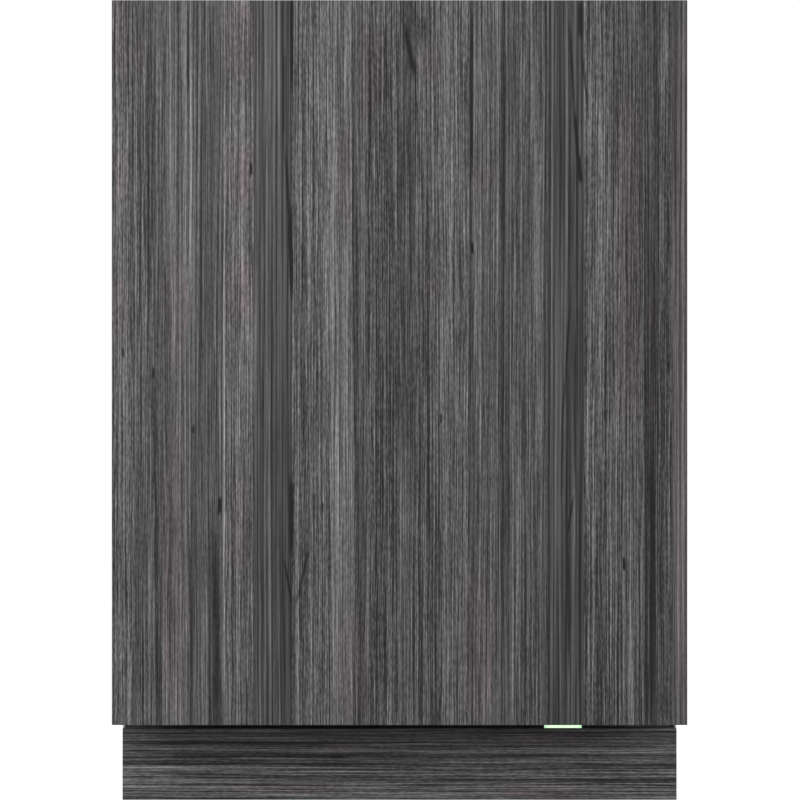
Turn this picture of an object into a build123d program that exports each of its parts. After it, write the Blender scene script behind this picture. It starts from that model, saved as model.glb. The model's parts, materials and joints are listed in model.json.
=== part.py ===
from build123d import *
import os

os.makedirs("parts", exist_ok=True)

# Fully integrated dishwasher, 60 cm wide, with its door closed.
# Millimetres: X to the viewer's right, Y to the back, Z up, so the front faces -Y.
# The origin lies on the floor, midway across the width and the depth.

# Driving dimensions of the cabinet and the kitchen front
cabinet_width = 598.0
cabinet_depth = 550.0  # door steel to rear panel
cabinet_height = 840.0  # floor to top sheet, feet wound out by 25
panel_thickness = 19.0
panel_bottom = 90.0
panel_width = cabinet_width - 1
panel_height = cabinet_height + 2 - panel_bottom
plinth_width = cabinet_width - 6
plinth_height = panel_bottom - 13.5
plinth_thickness = 16.0
plinth_setback = 95.0  # plinth face behind the panel face
board_edge = 0.8  # softened arris of the decor boards

# Sheets, walls and clearances
sheet = 0.8  # painted and galvanised steel
stainless = 0.6  # tub steel
plastic_wall = 2.0
seat_gap = 0.3  # between pieces that rest beside each other
running_fit = 0.05  # radial, pin in hole
weld_gap = 0.1  # between crossing wires at their weld

# Driving dimensions of the door
door_depth = 47.0  # door steel to the sealing face of the liner
liner_rise = 15.0  # raised field of the liner
door_bottom = 127.0
door_half = cabinet_width / 2 - 8.7
pivot_setback = 27.0  # hinge axis behind the door steel
pivot_rise = 8.0  # hinge axis above the door's lower edge
fascia_height = 33.0
fascia_top = cabinet_height - 2
fascia_leg = 24.5  # depth of the fascia in front of the liner
fascia_lid = 13.0  # height of the part that reaches over the liner

# Driving dimensions of the tub
tub_half = cabinet_width / 2 - 19
tub_ceiling = cabinet_height - 25
tub_base = 150.0  # underside of the floor pan
tub_wall_gap = 14.7  # back of the tub to the rear panel
gasket_depth = 8.2
gasket_width = 8.0
frame_sheet = 1.0
ledge_top = 169.7  # wheel ledges
pan_half = tub_half - 28

# Places that follow from them
front_y = -(panel_thickness + cabinet_depth) / 2
steel_y = front_y + panel_thickness
rear_y = steel_y + cabinet_depth
side_out = cabinet_width / 2
side_in = side_out - sheet
seal_y = steel_y + door_depth
field_y = seal_y + liner_rise
pivot_y = steel_y + pivot_setback
pivot_z = door_bottom + pivot_rise
gasket_y = seal_y + seat_gap
frame_y = gasket_y + gasket_depth
mouth_y = frame_y + frame_sheet
tub_back = rear_y - sheet - tub_wall_gap
plinth_y = front_y + plinth_setback
fascia_bottom = fascia_top - fascia_height
lid_bottom = fascia_top - fascia_lid
middle_y = (mouth_y + tub_back) / 2  # spray arms turn about this line, x = 0

# Levels and reaches of the racks in the tub
rack_y = (mouth_y + 21, tub_back - 29)
lower_half = tub_half - 27
upper_half = tub_half - 34
upper_floor = tub_ceiling - 312
upper_rim = upper_floor + 137
upper_arm_z = upper_floor - 45
lower_floor = ledge_top + 38.3
lower_rim = upper_arm_z - 86


def block(x, y, z, mode=Mode.ADD):
    """A block between pairs of limits on each axis."""
    with Locations(((x[0] + x[1]) / 2, (y[0] + y[1]) / 2, (z[0] + z[1]) / 2)):
        Box(x[1] - x[0], y[1] - y[0], z[1] - z[0], mode=mode)


def both_blocks(x, y, z, mode=Mode.ADD):
    """The same block on the right and on the left."""
    block(x, y, z, mode)
    block((-x[1], -x[0]), y, z, mode)


def rod(start, end, radius, mode=Mode.ADD):
    """A round bar between two points."""
    axis = Vector(*end) - Vector(*start)
    with Locations(Plane(origin=start, z_dir=axis)):
        Cylinder(radius, axis.length, align=(Align.CENTER, Align.CENTER, Align.MIN), mode=mode)


def both_rods(start, end, radius, mode=Mode.ADD):
    """The same bar on the right and on the left."""
    rod(start, end, radius, mode)
    rod((-start[0], start[1], start[2]), (-end[0], end[1], end[2]), radius, mode)


def facing_back(y, z=0.0, x=0.0):
    """A plane across the machine whose extrusions run to the back."""
    return Plane(origin=(x, y, z), x_dir=(1, 0, 0), z_dir=(0, 1, 0))


def wire(points, corner, radius):
    """A bent round wire through the points."""
    with BuildLine() as route:
        FilletPolyline(*points, radius=corner)
    path = route.line
    with BuildSketch(Plane(origin=path @ 0, z_dir=path % 0)) as section:
        Circle(radius)
    sweep(section.sketch, path=path)


def ring_wire(half_x, y, z, corner, radius):
    """A closed wire ring with rounded corners, lying flat."""
    middle = (y[0] + y[1]) / 2
    with BuildSketch(Plane.XY.offset(z)) as outline:
        with Locations((0, middle)):
            RectangleRounded(2 * half_x, y[1] - y[0], corner)
    path = outline.sketch.face().outer_wire()
    with BuildSketch(Plane(origin=path @ 0, z_dir=path % 0)) as section:
        Circle(radius)
    sweep(section.sketch, path=path)


# Furniture front: a wood-decor board screwed to the door steel
with BuildPart() as furniture_panel:
    block((-panel_width / 2, panel_width / 2), (front_y, steel_y), (panel_bottom, panel_bottom + panel_height))
    fillet(furniture_panel.edges().group_by(Axis.Y)[0], board_edge)
furniture_panel.part.label = "furniture_panel"
export_step(furniture_panel.part, "parts/furniture_panel.step")

# Plinth board, set back under the door and standing on the floor
with BuildPart() as plinth_board:
    block((-plinth_width / 2, plinth_width / 2), (plinth_y, plinth_y + plinth_thickness), (0, plinth_height))
    fillet(plinth_board.edges().group_by(Axis.Y)[0], board_edge)
plinth_board.part.label = "plinth_board"
export_step(plinth_board.part, "parts/plinth_board.step")

# Status light: a clear guide that hangs behind the panel and glows at its lower edge
light_x = (151.0, 190.0)
light_drop = 5.0  # below the panel
light_thickness = 4.5
with BuildPart() as status_light:
    block(light_x, (steel_y, steel_y + light_thickness), (panel_bottom - light_drop, door_bottom))
    fillet(status_light.edges().group_by(Axis.Z)[0], 0.6)
status_light.part.label = "status_light"
export_step(status_light.part, "parts/status_light.step")

# Door steel: a pan open to the back
pan_depth = door_depth - 3.5
liner_depth = 21.5
with BuildPart() as door_outer_panel:
    block((-door_half, door_half), (steel_y, steel_y + pan_depth), (door_bottom, fascia_bottom))
    block(
        (sheet - door_half, door_half - sheet),
        (steel_y + sheet, steel_y + pan_depth),
        (door_bottom + sheet, fascia_bottom - sheet),
        Mode.SUBTRACT,
    )
    block(
        (sheet - door_half, door_half - sheet),
        (seal_y - liner_depth - seat_gap, steel_y + pan_depth),
        (fascia_bottom - sheet, fascia_bottom),
        Mode.SUBTRACT,
    )
door_outer_panel.part.label = "door_outer_panel"
export_step(door_outer_panel.part, "parts/door_outer_panel.step")

# Inner liner: stainless, with a raised field, an opening for the dispenser and sides inside the pan
liner_half = door_half - sheet - seat_gap
liner_bottom = door_bottom + sheet + seat_gap
liner_top = lid_bottom - seat_gap
field_half = door_half - 22.3
field_z = (door_bottom + 33, lid_bottom - 30)
field_corner = 28.0
field_draft = 14.0
dispenser_x = (6.0, 176.0)
dispenser_z = (430.0, 560.0)
with BuildPart() as door_inner_liner:
    block((-liner_half, liner_half), (seal_y - liner_depth, seal_y), (liner_bottom, liner_top))
    with BuildSketch(facing_back(seal_y, (field_z[0] + field_z[1]) / 2)):
        RectangleRounded(2 * field_half, field_z[1] - field_z[0], field_corner)
    extrude(amount=liner_rise, taper=field_draft)
    block(
        (stainless - liner_half, liner_half - stainless),
        (seal_y - liner_depth, seal_y - stainless),
        (liner_bottom + stainless, liner_top - stainless),
        Mode.SUBTRACT,
    )
    with BuildSketch(facing_back(seal_y - stainless, (field_z[0] + field_z[1]) / 2)):
        RectangleRounded(
            2 * (field_half - stainless), field_z[1] - field_z[0] - 2 * stainless, field_corner - stainless
        )
    extrude(amount=liner_rise, taper=field_draft, mode=Mode.SUBTRACT)
    block(dispenser_x, (seal_y, field_y), dispenser_z, Mode.SUBTRACT)
door_inner_liner.part.label = "door_inner_liner"
export_step(door_inner_liner.part, "parts/door_inner_liner.step")

# Sound mat between the two door sheets, cut out round the dispenser
mat_thickness = 18.0
mat_inset = 5.0
with BuildPart() as door_insulation:
    block(
        (mat_inset - liner_half, liner_half - mat_inset),
        (steel_y + sheet + seat_gap, steel_y + sheet + seat_gap + mat_thickness),
        (door_bottom + mat_inset, fascia_bottom - mat_inset),
    )
door_insulation.part.label = "door_insulation"
export_step(door_insulation.part, "parts/door_insulation.step")

# Control fascia: a moulded housing on the door's upper edge, with its keys on top
key_y = steel_y + 15.5
key_size = (14.0, 8.0)
key_reach = door_half - 50.3
key_places = {"on_off_key": -key_reach, "programme_key": 70 - key_reach, "start_key": key_reach}
key_travel = 1.0
window_x = (90.0, 190.0)
window_depth = 11.0
window_thickness = 0.8
latch_half = 30.0
slot_half = 13.0
slot_z = (fascia_top - 10.0, fascia_top - 3.8)
with BuildPart() as control_fascia:
    block((-door_half, door_half), (steel_y, steel_y + fascia_leg), (fascia_bottom, fascia_top))
    block((-door_half, door_half), (steel_y, seal_y), (lid_bottom, fascia_top))
    block(
        (plastic_wall - door_half, door_half - plastic_wall),
        (steel_y + plastic_wall, steel_y + fascia_leg - plastic_wall),
        (fascia_bottom, fascia_top - plastic_wall),
        Mode.SUBTRACT,
    )
    block(
        (plastic_wall - door_half, door_half - plastic_wall),
        (steel_y + plastic_wall, seal_y - plastic_wall),
        (lid_bottom + plastic_wall, fascia_top - plastic_wall),
        Mode.SUBTRACT,
    )
    block((-slot_half, slot_half), (seal_y - plastic_wall, seal_y), slot_z, Mode.SUBTRACT)
    with Locations(*[(x, key_y, fascia_top - plastic_wall / 2) for x in key_places.values()]):
        Box(key_size[0] + 2 * seat_gap, key_size[1] + 2 * seat_gap, plastic_wall, mode=Mode.SUBTRACT)
    block(
        window_x,
        (key_y - window_depth / 2, key_y + window_depth / 2),
        (fascia_top - window_thickness, fascia_top),
        Mode.SUBTRACT,
    )
control_fascia.part.label = "control_fascia"
export_step(control_fascia.part, "parts/control_fascia.step")

# Display window, let into the top of the fascia
window_gap = 0.2
with BuildPart() as display_window:
    block(
        (window_x[0] + window_gap, window_x[1] - window_gap),
        (key_y - window_depth / 2 + window_gap, key_y + window_depth / 2 - window_gap),
        (fascia_top - window_thickness, fascia_top),
    )
display_window.part.label = "display_window"
export_step(display_window.part, "parts/display_window.step")

# Control board under the keys, with a switch for each key, the display and a relay
board_z = fascia_bottom + 5.5
board_thickness = 1.6
board_top = board_z + board_thickness
switch_size = 6.0
switch_height = 0.9
display_inset = 6.0
display_half = 4.0
display_gap = 4.0  # below the fascia's top
relay_x = (40.0, 62.0)
relay_half = 6.0
relay_height = 14.0
with BuildPart() as control_board:
    block(
        (plastic_wall + seat_gap - door_half, door_half - plastic_wall - seat_gap),
        (steel_y + plastic_wall + seat_gap, steel_y + fascia_leg - plastic_wall - seat_gap),
        (board_z, board_top),
    )
    with Locations(*[(x, key_y, board_top + switch_height / 2) for x in key_places.values()]):
        Box(switch_size, switch_size, switch_height)
    block(
        (window_x[0] + display_inset, window_x[1] - display_inset),
        (key_y - display_half, key_y + display_half),
        (board_top, fascia_top - display_gap),
    )
    block(relay_x, (key_y - relay_half, key_y + relay_half), (board_top, board_top + relay_height))
control_board.part.label = "control_board"
export_step(control_board.part, "parts/control_board.step")

# Keys: each cap stands through the fascia, held by a flange, over its switch
key_proud = 0.9
flange_thickness = 2.0
flange_lap = 1.5
cap_arris = 0.5
stem_radius = 2.0
flange_top = fascia_top - plastic_wall - seat_gap
for label, x in key_places.items():
    with BuildPart() as key:
        with Locations((x, key_y, 0)):
            with Locations((0, 0, (flange_top + fascia_top + key_proud) / 2)):
                Box(key_size[0], key_size[1], fascia_top + key_proud - flange_top)
        fillet(key.edges().group_by(Axis.Z)[-1], cap_arris)
        with Locations((x, key_y, flange_top - flange_thickness / 2)):
            Box(key_size[0] + 2 * flange_lap, key_size[1] + 2 * flange_lap, flange_thickness)
        rod(
            (x, key_y, board_top + switch_height + key_travel + seat_gap),
            (x, key_y, flange_top - flange_thickness),
            stem_radius,
        )
    key.part.label = label
    export_step(key.part, f"parts/{label}.step")

# Door latch in the fascia, which holds the striker on the front frame
tongue_half = 10.0
tongue_z = (slot_z[0] + 1.5, slot_z[1] - 1.7)
tongue_tip = seal_y - 21.5
tongue_room = 2.0  # ahead of the tongue's tip
latch_floor = 0.7
latch_y = steel_y + 8.0
with BuildPart() as door_latch:
    block(
        (-latch_half, latch_half),
        (latch_y, seal_y - plastic_wall - seat_gap),
        (slot_z[0] - latch_floor, fascia_top - plastic_wall - seat_gap),
    )
    block((-slot_half, slot_half), (tongue_tip - tongue_room, seal_y), slot_z, Mode.SUBTRACT)
door_latch.part.label = "door_latch"
export_step(door_latch.part, "parts/door_latch.step")

# Lower door seal: a rubber lip along the foot of the liner
lip_seal_depth = 4.0
lip_seal_z = (pivot_z + 1, pivot_z + 15)
lip_seal_half = tub_half - 1.0
lip_seal_round = 1.2
with BuildPart() as lower_door_seal:
    block((-lip_seal_half, lip_seal_half), (seal_y, seal_y + lip_seal_depth), lip_seal_z)
    fillet(lower_door_seal.edges().filter_by(Axis.X).group_by(Axis.Y)[-1], lip_seal_round)
lower_door_seal.part.label = "lower_door_seal"
export_step(lower_door_seal.part, "parts/lower_door_seal.step")

# Hinges: an arm on each door side turns on a pin in a bracket on the base
pin_radius = 6.0
arm_x = (door_half + seat_gap, door_half + seat_gap + 3.0)
bracket_x = (arm_x[1] + 0.4, arm_x[1] + 3.4)
lever_length = 58.0
lever_width = 16.0
arm_height = 150.0
arm_width = 26.0
arm_eye = arm_width / 2 + 1
cord_hole = 3.0
rivet_hole = 2.2
rivet_z = (pivot_z + arm_height / 2, pivot_z + arm_height - 20)
with BuildPart() as hinge_arms:
    with BuildSketch(Plane.YZ.offset(arm_x[0])):
        with Locations((pivot_y, pivot_z)):
            Circle(arm_eye)
        with Locations((pivot_y, pivot_z + arm_height / 2)):
            Rectangle(arm_width, arm_height)
        with Locations((pivot_y + lever_length / 2, pivot_z)):
            SlotCenterToCenter(lever_length, lever_width)
        with Locations((pivot_y, pivot_z)):
            Circle(pin_radius + running_fit, mode=Mode.SUBTRACT)
        with Locations((pivot_y + lever_length, pivot_z)):
            Circle(cord_hole, mode=Mode.SUBTRACT)
        with Locations((pivot_y, rivet_z[0]), (pivot_y, rivet_z[1])):
            Circle(rivet_hole, mode=Mode.SUBTRACT)
    extrude(amount=arm_x[1] - arm_x[0])
    mirror(about=Plane.YZ)
hinge_arms.part.label = "hinge_arms"
export_step(hinge_arms.part, "parts/hinge_arms.step")

base_floor = (38.0, 41.0)
bracket_back = 90.0  # behind the hinge axis
bracket_foot = 66.0  # where its leg starts
bracket_eye = 14.0
bracket_height = 36.0
bracket_lift = 4.0  # of its beam above the hinge axis
with BuildPart() as hinge_brackets:
    with BuildSketch(Plane.YZ.offset(bracket_x[0])):
        with Locations((pivot_y, pivot_z)):
            Circle(bracket_eye)
        with Locations((pivot_y + bracket_back / 2, pivot_z + bracket_lift)):
            Rectangle(bracket_back, bracket_height)
        with Locations((pivot_y + (bracket_foot + bracket_back) / 2, (base_floor[1] + pivot_z) / 2)):
            Rectangle(bracket_back - bracket_foot, pivot_z - base_floor[1])
    extrude(amount=bracket_x[1] - bracket_x[0])
    rod((arm_x[0] - 0.2, pivot_y, pivot_z), (bracket_x[0], pivot_y, pivot_z), pin_radius)
    mirror(about=Plane.YZ)
hinge_brackets.part.label = "hinge_brackets"
export_step(hinge_brackets.part, "parts/hinge_brackets.step")

# Balancing springs beside the base, each with end plugs and a pull cord to its hinge lever
spring_x = arm_x[0] - 3.2
spring_z = pivot_z - 17.0
spring_radius = 6.5  # to the middle of the wire
spring_wire = 1.1
spring_turns = 22
spring_y = (pivot_y + 94.5, pivot_y + 174.5)
spring_length = spring_y[1] - spring_y[0]
plug_radius = spring_radius - spring_wire - 0.2
plug_grip = 8.0  # how far a plug reaches into its spring
plug_tail = 6.0
spring_anchor_y = spring_y[1] + 14.0
plug_ends = (
    (spring_y[0] - plug_tail, spring_y[0] + plug_grip),
    (spring_y[1] - plug_grip, spring_anchor_y - seat_gap),
)
cord_radius = 1.3
cord_end = (arm_x[0] + 1.5, pivot_y + lever_length + lever_width / 2 + 0.6, pivot_z - 4)
spring_pitch = spring_length / spring_turns


def least_gap(path, turns, radius):
    """The least gap of a coiled tube to itself, measured on points of its middle line."""
    turn = 24
    points = [path @ (i / (turn * turns)) for i in range(turn * turns + 1)]
    return min((b - a).length for i, a in enumerate(points) for b in points[i + turn // 2 :]) - 2 * radius


with BuildPart() as door_springs:
    with BuildLine() as coil:
        Helix(spring_pitch, spring_length, spring_radius, (spring_x, spring_y[0], spring_z), (0, 1, 0))
    with BuildSketch(Plane(origin=coil.line @ 0, z_dir=coil.line % 0)):
        Circle(spring_wire)
    sweep(path=coil.line, is_frenet=True)
    print("spring, least gap to itself:", round(least_gap(coil.line, spring_turns, spring_wire), 2), "mm")
    for start, end in plug_ends:
        rod((spring_x, start, spring_z), (spring_x, end, spring_z), plug_radius)
    rod((spring_x, spring_y[0] - plug_tail + 1, spring_z), cord_end, cord_radius)
    mirror(about=Plane.YZ)
door_springs.part.label = "door_springs"
export_step(door_springs.part, "parts/door_springs.step")

# Detergent dispenser in the liner: a flanged body with a chamber and a rinse-aid well
dispenser_flange = 8.0
dispenser_floor_y = seal_y - 20.0
flange_y = (field_y, field_y + plastic_wall)
chamber_x = (dispenser_x[0] + 14, dispenser_x[0] + 84)
chamber_z = (dispenser_z[0] + 10, dispenser_z[1] - 15)
cap_place = (dispenser_x[1] - 46, (dispenser_z[0] + dispenser_z[1]) / 2 + 5)
cap_radius = 17.0
well_radius = 11.0
with BuildPart() as dispenser_body:
    block(
        (dispenser_x[0] + seat_gap, dispenser_x[1] - seat_gap),
        (dispenser_floor_y, field_y),
        (dispenser_z[0] + seat_gap, dispenser_z[1] - seat_gap),
    )
    block(
        (dispenser_x[0] - dispenser_flange, dispenser_x[1] + dispenser_flange),
        flange_y,
        (dispenser_z[0] - dispenser_flange, dispenser_z[1] + dispenser_flange),
    )
    fillet(dispenser_body.edges().filter_by(Axis.Y).group_by(Axis.Y)[-1], 6)
    block(chamber_x, (dispenser_floor_y + plastic_wall, flange_y[1]), chamber_z, Mode.SUBTRACT)
    rod(
        (cap_place[0], flange_y[1], cap_place[1]),
        (cap_place[0], dispenser_floor_y + plastic_wall, cap_place[1]),
        well_radius,
        Mode.SUBTRACT,
    )
dispenser_body.part.label = "dispenser_body"
export_step(dispenser_body.part, "parts/dispenser_body.step")

# Sliding cover of the detergent chamber, with a finger ridge
cover_lap = 5.0
cover_thickness = 1.8
lid_y = flange_y[1] + seat_gap
with BuildPart() as dispenser_cover:
    block(
        (chamber_x[0] - cover_lap, chamber_x[1] + cover_lap),
        (lid_y, lid_y + cover_thickness),
        (chamber_z[0] - cover_lap, chamber_z[1] + cover_lap),
    )
    fillet(dispenser_cover.edges().filter_by(Axis.Y), 5)
    block(
        (chamber_x[0] + 8, chamber_x[1] - 8),
        (lid_y + cover_thickness, lid_y + cover_thickness + 1.6),
        (chamber_z[1] - 16, chamber_z[1] - 12),
    )
dispenser_cover.part.label = "dispenser_cover"
export_step(dispenser_cover.part, "parts/dispenser_cover.step")

# Rinse-aid cap: a quarter-turn bayonet cap with a grip bar
cap_thickness = 2.0
with BuildPart() as rinse_aid_cap:
    rod(
        (cap_place[0], lid_y, cap_place[1]),
        (cap_place[0], lid_y + cap_thickness, cap_place[1]),
        cap_radius,
    )
    rod(
        (cap_place[0], lid_y, cap_place[1]),
        (cap_place[0], flange_y[1] - 6, cap_place[1]),
        well_radius - running_fit,
    )
    block(
        (cap_place[0] - 12, cap_place[0] + 12),
        (lid_y + cap_thickness, lid_y + cap_thickness + 1.4),
        (cap_place[1] - 3, cap_place[1] + 3),
    )
rinse_aid_cap.part.label = "rinse_aid_cap"
export_step(rinse_aid_cap.part, "parts/rinse_aid_cap.step")

# Base tray: moulded floor and walls that carry the hinges, the feet, the pumps and the tub
wall_x = (tub_half - 7, tub_half - 4)
plinth_back = plinth_y + plinth_thickness
base_front = plinth_back + seat_gap
base_back = rear_y - 44.5
back_wall_y = (base_back - 3, base_back)
wall_top = ledge_top - 1.0
cover_sheet = 2.0
cover_plate_y = plinth_back + 4.5
walls_front = cover_plate_y + cover_sheet + seat_gap
front_wall_y = (walls_front + 1, walls_front + 4)
base_half = plinth_width / 2 + 0.4
foot_boss = 14.0
foot_stem = 6.0
boss_top = 128.0
foot_x = cabinet_width / 2 - 49
foot_y = base_front + 33.2
foot_places = {
    "front_foot_left": (-foot_x, foot_y),
    "front_foot_right": (foot_x, foot_y),
    "rear_foot": (0.0, base_back - 35),
}
inlet_place = (43 - wall_x[0], 80.0)
inlet_spigot = 13.2
drain_place = (35.0, 80.0)
drain_spigot = 10.0
pipe_clearance = 1.0
terminal_x = (wall_x[0] - 87, wall_x[0] - 11)
terminal_top = 112.0
socket_x = (terminal_x[0] + 24, terminal_x[1] - 24)
socket_z = (70.0, 92.0)
anchor_y = (spring_anchor_y, spring_anchor_y + 6)
with BuildPart() as base_tray:
    block((-base_half, base_half), (base_front, rear_y - 4), base_floor)
    both_blocks(wall_x, (walls_front, base_back), (base_floor[1], wall_top))
    block((-wall_x[0], wall_x[0]), front_wall_y, (base_floor[1], tub_base - seat_gap))
    block((-wall_x[0], wall_x[0]), back_wall_y, (base_floor[1], tub_base - seat_gap))
    both_blocks((wall_x[1], spring_x + 8), anchor_y, (spring_z - 10, spring_z + 10))
    for place in foot_places.values():
        rod((*place, base_floor[1]), (*place, boss_top), foot_boss)
        rod((*place, base_floor[0]), (*place, boss_top - 3), foot_stem + running_fit, Mode.SUBTRACT)
    for place, spigot in ((inlet_place, inlet_spigot), (drain_place, drain_spigot)):
        rod((place[0], back_wall_y[0], place[1]), (place[0], back_wall_y[1], place[1]),
            spigot + pipe_clearance, Mode.SUBTRACT)
    block(socket_x, back_wall_y, socket_z, Mode.SUBTRACT)
base_tray.part.label = "base_tray"
export_step(base_tray.part, "parts/base_tray.step")

# Feet: a threaded leg with a broad pad, wound into its boss in the base
pad_radius = 20.0
pad_height = 9.0
pad_round = 2.0
foot_rise = 25.0  # how far a foot winds in
collar_radius = 9.0
collar_top = base_floor[0] - foot_rise - seat_gap
stem_top = 95.0
for label, place in foot_places.items():
    with BuildPart() as foot:
        rod((*place, 0), (*place, pad_height), pad_radius)
        fillet(foot.edges().filter_by(GeomType.CIRCLE).sort_by(Axis.Z)[-1], pad_round)
        rod((*place, pad_height), (*place, collar_top), collar_radius)
        rod((*place, collar_top), (*place, stem_top), foot_stem)
    foot.part.label = label
    export_step(foot.part, f"parts/{label}.step")

# Dark base cover in the toe space, and the brackets that hold the plinth board to the base
cover_y = (cover_plate_y, cover_plate_y + cover_sheet)
cover_half = plinth_width / 2 - 3
cover_middle = wall_x[0] - 0.5
with BuildPart() as base_front_cover:
    block((-cover_middle, cover_middle), cover_y, (base_floor[1] + seat_gap, tub_base - seat_gap))
    both_blocks((cover_middle, cover_half), cover_y, (base_floor[1] + seat_gap, spring_z - 8))
base_front_cover.part.label = "base_front_cover"
export_step(base_front_cover.part, "parts/base_front_cover.step")

clip_sheet = 2.0
clip_x = (150.0, 190.0)
clip_low = 12.0
clip_reach = 34.0
with BuildPart() as plinth_brackets:
    both_blocks(clip_x, (plinth_back, plinth_back + clip_sheet), (clip_low, base_floor[0] - clip_sheet))
    both_blocks(clip_x, (plinth_back, plinth_back + clip_reach), (base_floor[0] - clip_sheet, base_floor[0]))
plinth_brackets.part.label = "plinth_brackets"
export_step(plinth_brackets.part, "parts/plinth_brackets.step")

# Tub wrapper: stainless sides and ceiling in one folded sheet
with BuildPart() as tub_wrapper:
    block((-tub_half - stainless, tub_half + stainless), (mouth_y, tub_back - seat_gap),
          (tub_base, tub_ceiling + stainless))
    block((-tub_half, tub_half), (mouth_y, tub_back - seat_gap), (tub_base, tub_ceiling), Mode.SUBTRACT)
tub_wrapper.part.label = "tub_wrapper"
export_step(tub_wrapper.part, "parts/tub_wrapper.step")

# Tub rear wall with a pressed field
field_press = 3.0
press_round = 30.0
press_size = (2 * tub_half - 90, tub_ceiling - tub_base - 110)
press_z = (tub_base + tub_ceiling) / 2 + 10
with BuildPart() as tub_rear_wall:
    block((-tub_half - stainless, tub_half + stainless), (tub_back, tub_back + stainless),
          (tub_base, tub_ceiling + stainless))
    with BuildSketch(facing_back(tub_back, press_z)):
        RectangleRounded(*press_size, press_round)
    extrude(amount=field_press)
    with BuildSketch(facing_back(tub_back - stainless, press_z)):
        RectangleRounded(press_size[0] - 2 * stainless, press_size[1] - 2 * stainless, press_round - stainless)
    extrude(amount=field_press, mode=Mode.SUBTRACT)
tub_rear_wall.part.label = "tub_rear_wall"
export_step(tub_rear_wall.part, "parts/tub_rear_wall.step")

# Tub floor: a pan with wheel ledges at its sides, a front lip, the sump opening and the salt neck's hole
floor_sheet = 0.7
floor_back = tub_back - seat_gap
lip_y = seal_y + 2.5
lip_top = pivot_z + 22.0
ledge_y = mouth_y + 10.5
ledge_half = tub_half - 0.2
sump_place = (drain_place[0], middle_y - 35)
sump_opening = 107.0
neck_place = (87 - pan_half, middle_y - 30)
neck_radius = 26.0
with BuildPart() as tub_floor:
    block((-pan_half, pan_half), (mouth_y - floor_sheet, floor_back), (tub_base, tub_base + floor_sheet))
    block((-pan_half, pan_half), (mouth_y - floor_sheet, mouth_y), (tub_base, lip_top))
    block((-ledge_half, ledge_half), (lip_y, mouth_y), (lip_top - floor_sheet, lip_top))
    both_blocks((pan_half - floor_sheet, ledge_half), (mouth_y - floor_sheet, ledge_y),
                (lip_top - floor_sheet, lip_top))
    both_blocks((pan_half - floor_sheet, ledge_half), (ledge_y - floor_sheet, ledge_y),
                (lip_top - floor_sheet, ledge_top))
    both_blocks((pan_half - floor_sheet, ledge_half), (ledge_y - floor_sheet, floor_back),
                (ledge_top - floor_sheet, ledge_top))
    both_blocks((pan_half - floor_sheet, pan_half), (ledge_y - floor_sheet, floor_back), (tub_base, ledge_top))
    both_blocks((pan_half - floor_sheet, pan_half), (mouth_y - floor_sheet, ledge_y), (tub_base, lip_top))
    block((-pan_half, pan_half), (floor_back - floor_sheet, floor_back), (tub_base, ledge_top))
    rod((*sump_place, tub_base - 1), (*sump_place, tub_base + 2), sump_opening, Mode.SUBTRACT)
    rod((*neck_place, tub_base - 1), (*neck_place, tub_base + 2), neck_radius + seat_gap, Mode.SUBTRACT)
tub_floor.part.label = "tub_floor"
export_step(tub_floor.part, "parts/tub_floor.step")

# Front frame round the tub mouth, narrower below to clear the hinge levers, with the latch's striker
striker_sheet = 1.2
striker_half = 22.0
screw_x = side_in - 4.2
screw_places = [(x, z) for x in (-screw_x, screw_x) for z in (240.0, 500.0, cabinet_height - 80)]
screw_hole = 1.9
frame_top = cabinet_height - 2
frame_in = tub_half + 1.0
frame_out = side_in - 0.2
lever_clear_z = pivot_z + lever_length + lever_width / 2 + 5
with BuildPart() as front_frame:
    both_blocks((frame_in, arm_x[0] - 0.6), (frame_y, mouth_y), (lip_top - 5, frame_top))
    both_blocks((frame_in, frame_out), (frame_y, mouth_y), (lever_clear_z, frame_top))
    block((-frame_out, frame_out), (frame_y, mouth_y), (tub_ceiling + 1, frame_top))
    block((-striker_half, striker_half), (frame_y - striker_sheet, frame_y), (lid_bottom + 1, fascia_top - 0.5))
    block((-tongue_half, tongue_half), (tongue_tip, frame_y), tongue_z)
    with Locations(*[(x, frame_y + frame_sheet / 2, z) for x, z in screw_places]):
        Cylinder(screw_hole, frame_sheet, rotation=(90, 0, 0), mode=Mode.SUBTRACT)
front_frame.part.label = "front_frame"
export_step(front_frame.part, "parts/front_frame.step")

# Door gasket: a rubber bulb seal up both sides and across the top
bulb_x = (tub_half + 1.5, tub_half + 1.5 + gasket_width)
bulb_top = tub_ceiling + 1.5 + gasket_width
bulb_round = 2.5
with BuildPart() as door_gasket:
    both_blocks(bulb_x, (gasket_y, frame_y), (lip_top - 5, bulb_top))
    block((-bulb_x[1], bulb_x[1]), (gasket_y, frame_y), (bulb_top - gasket_width, bulb_top))
    fillet(door_gasket.edges().group_by(Axis.Y)[0].filter_by(Axis.Z), bulb_round)
door_gasket.part.label = "door_gasket"
export_step(door_gasket.part, "parts/door_gasket.step")

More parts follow.
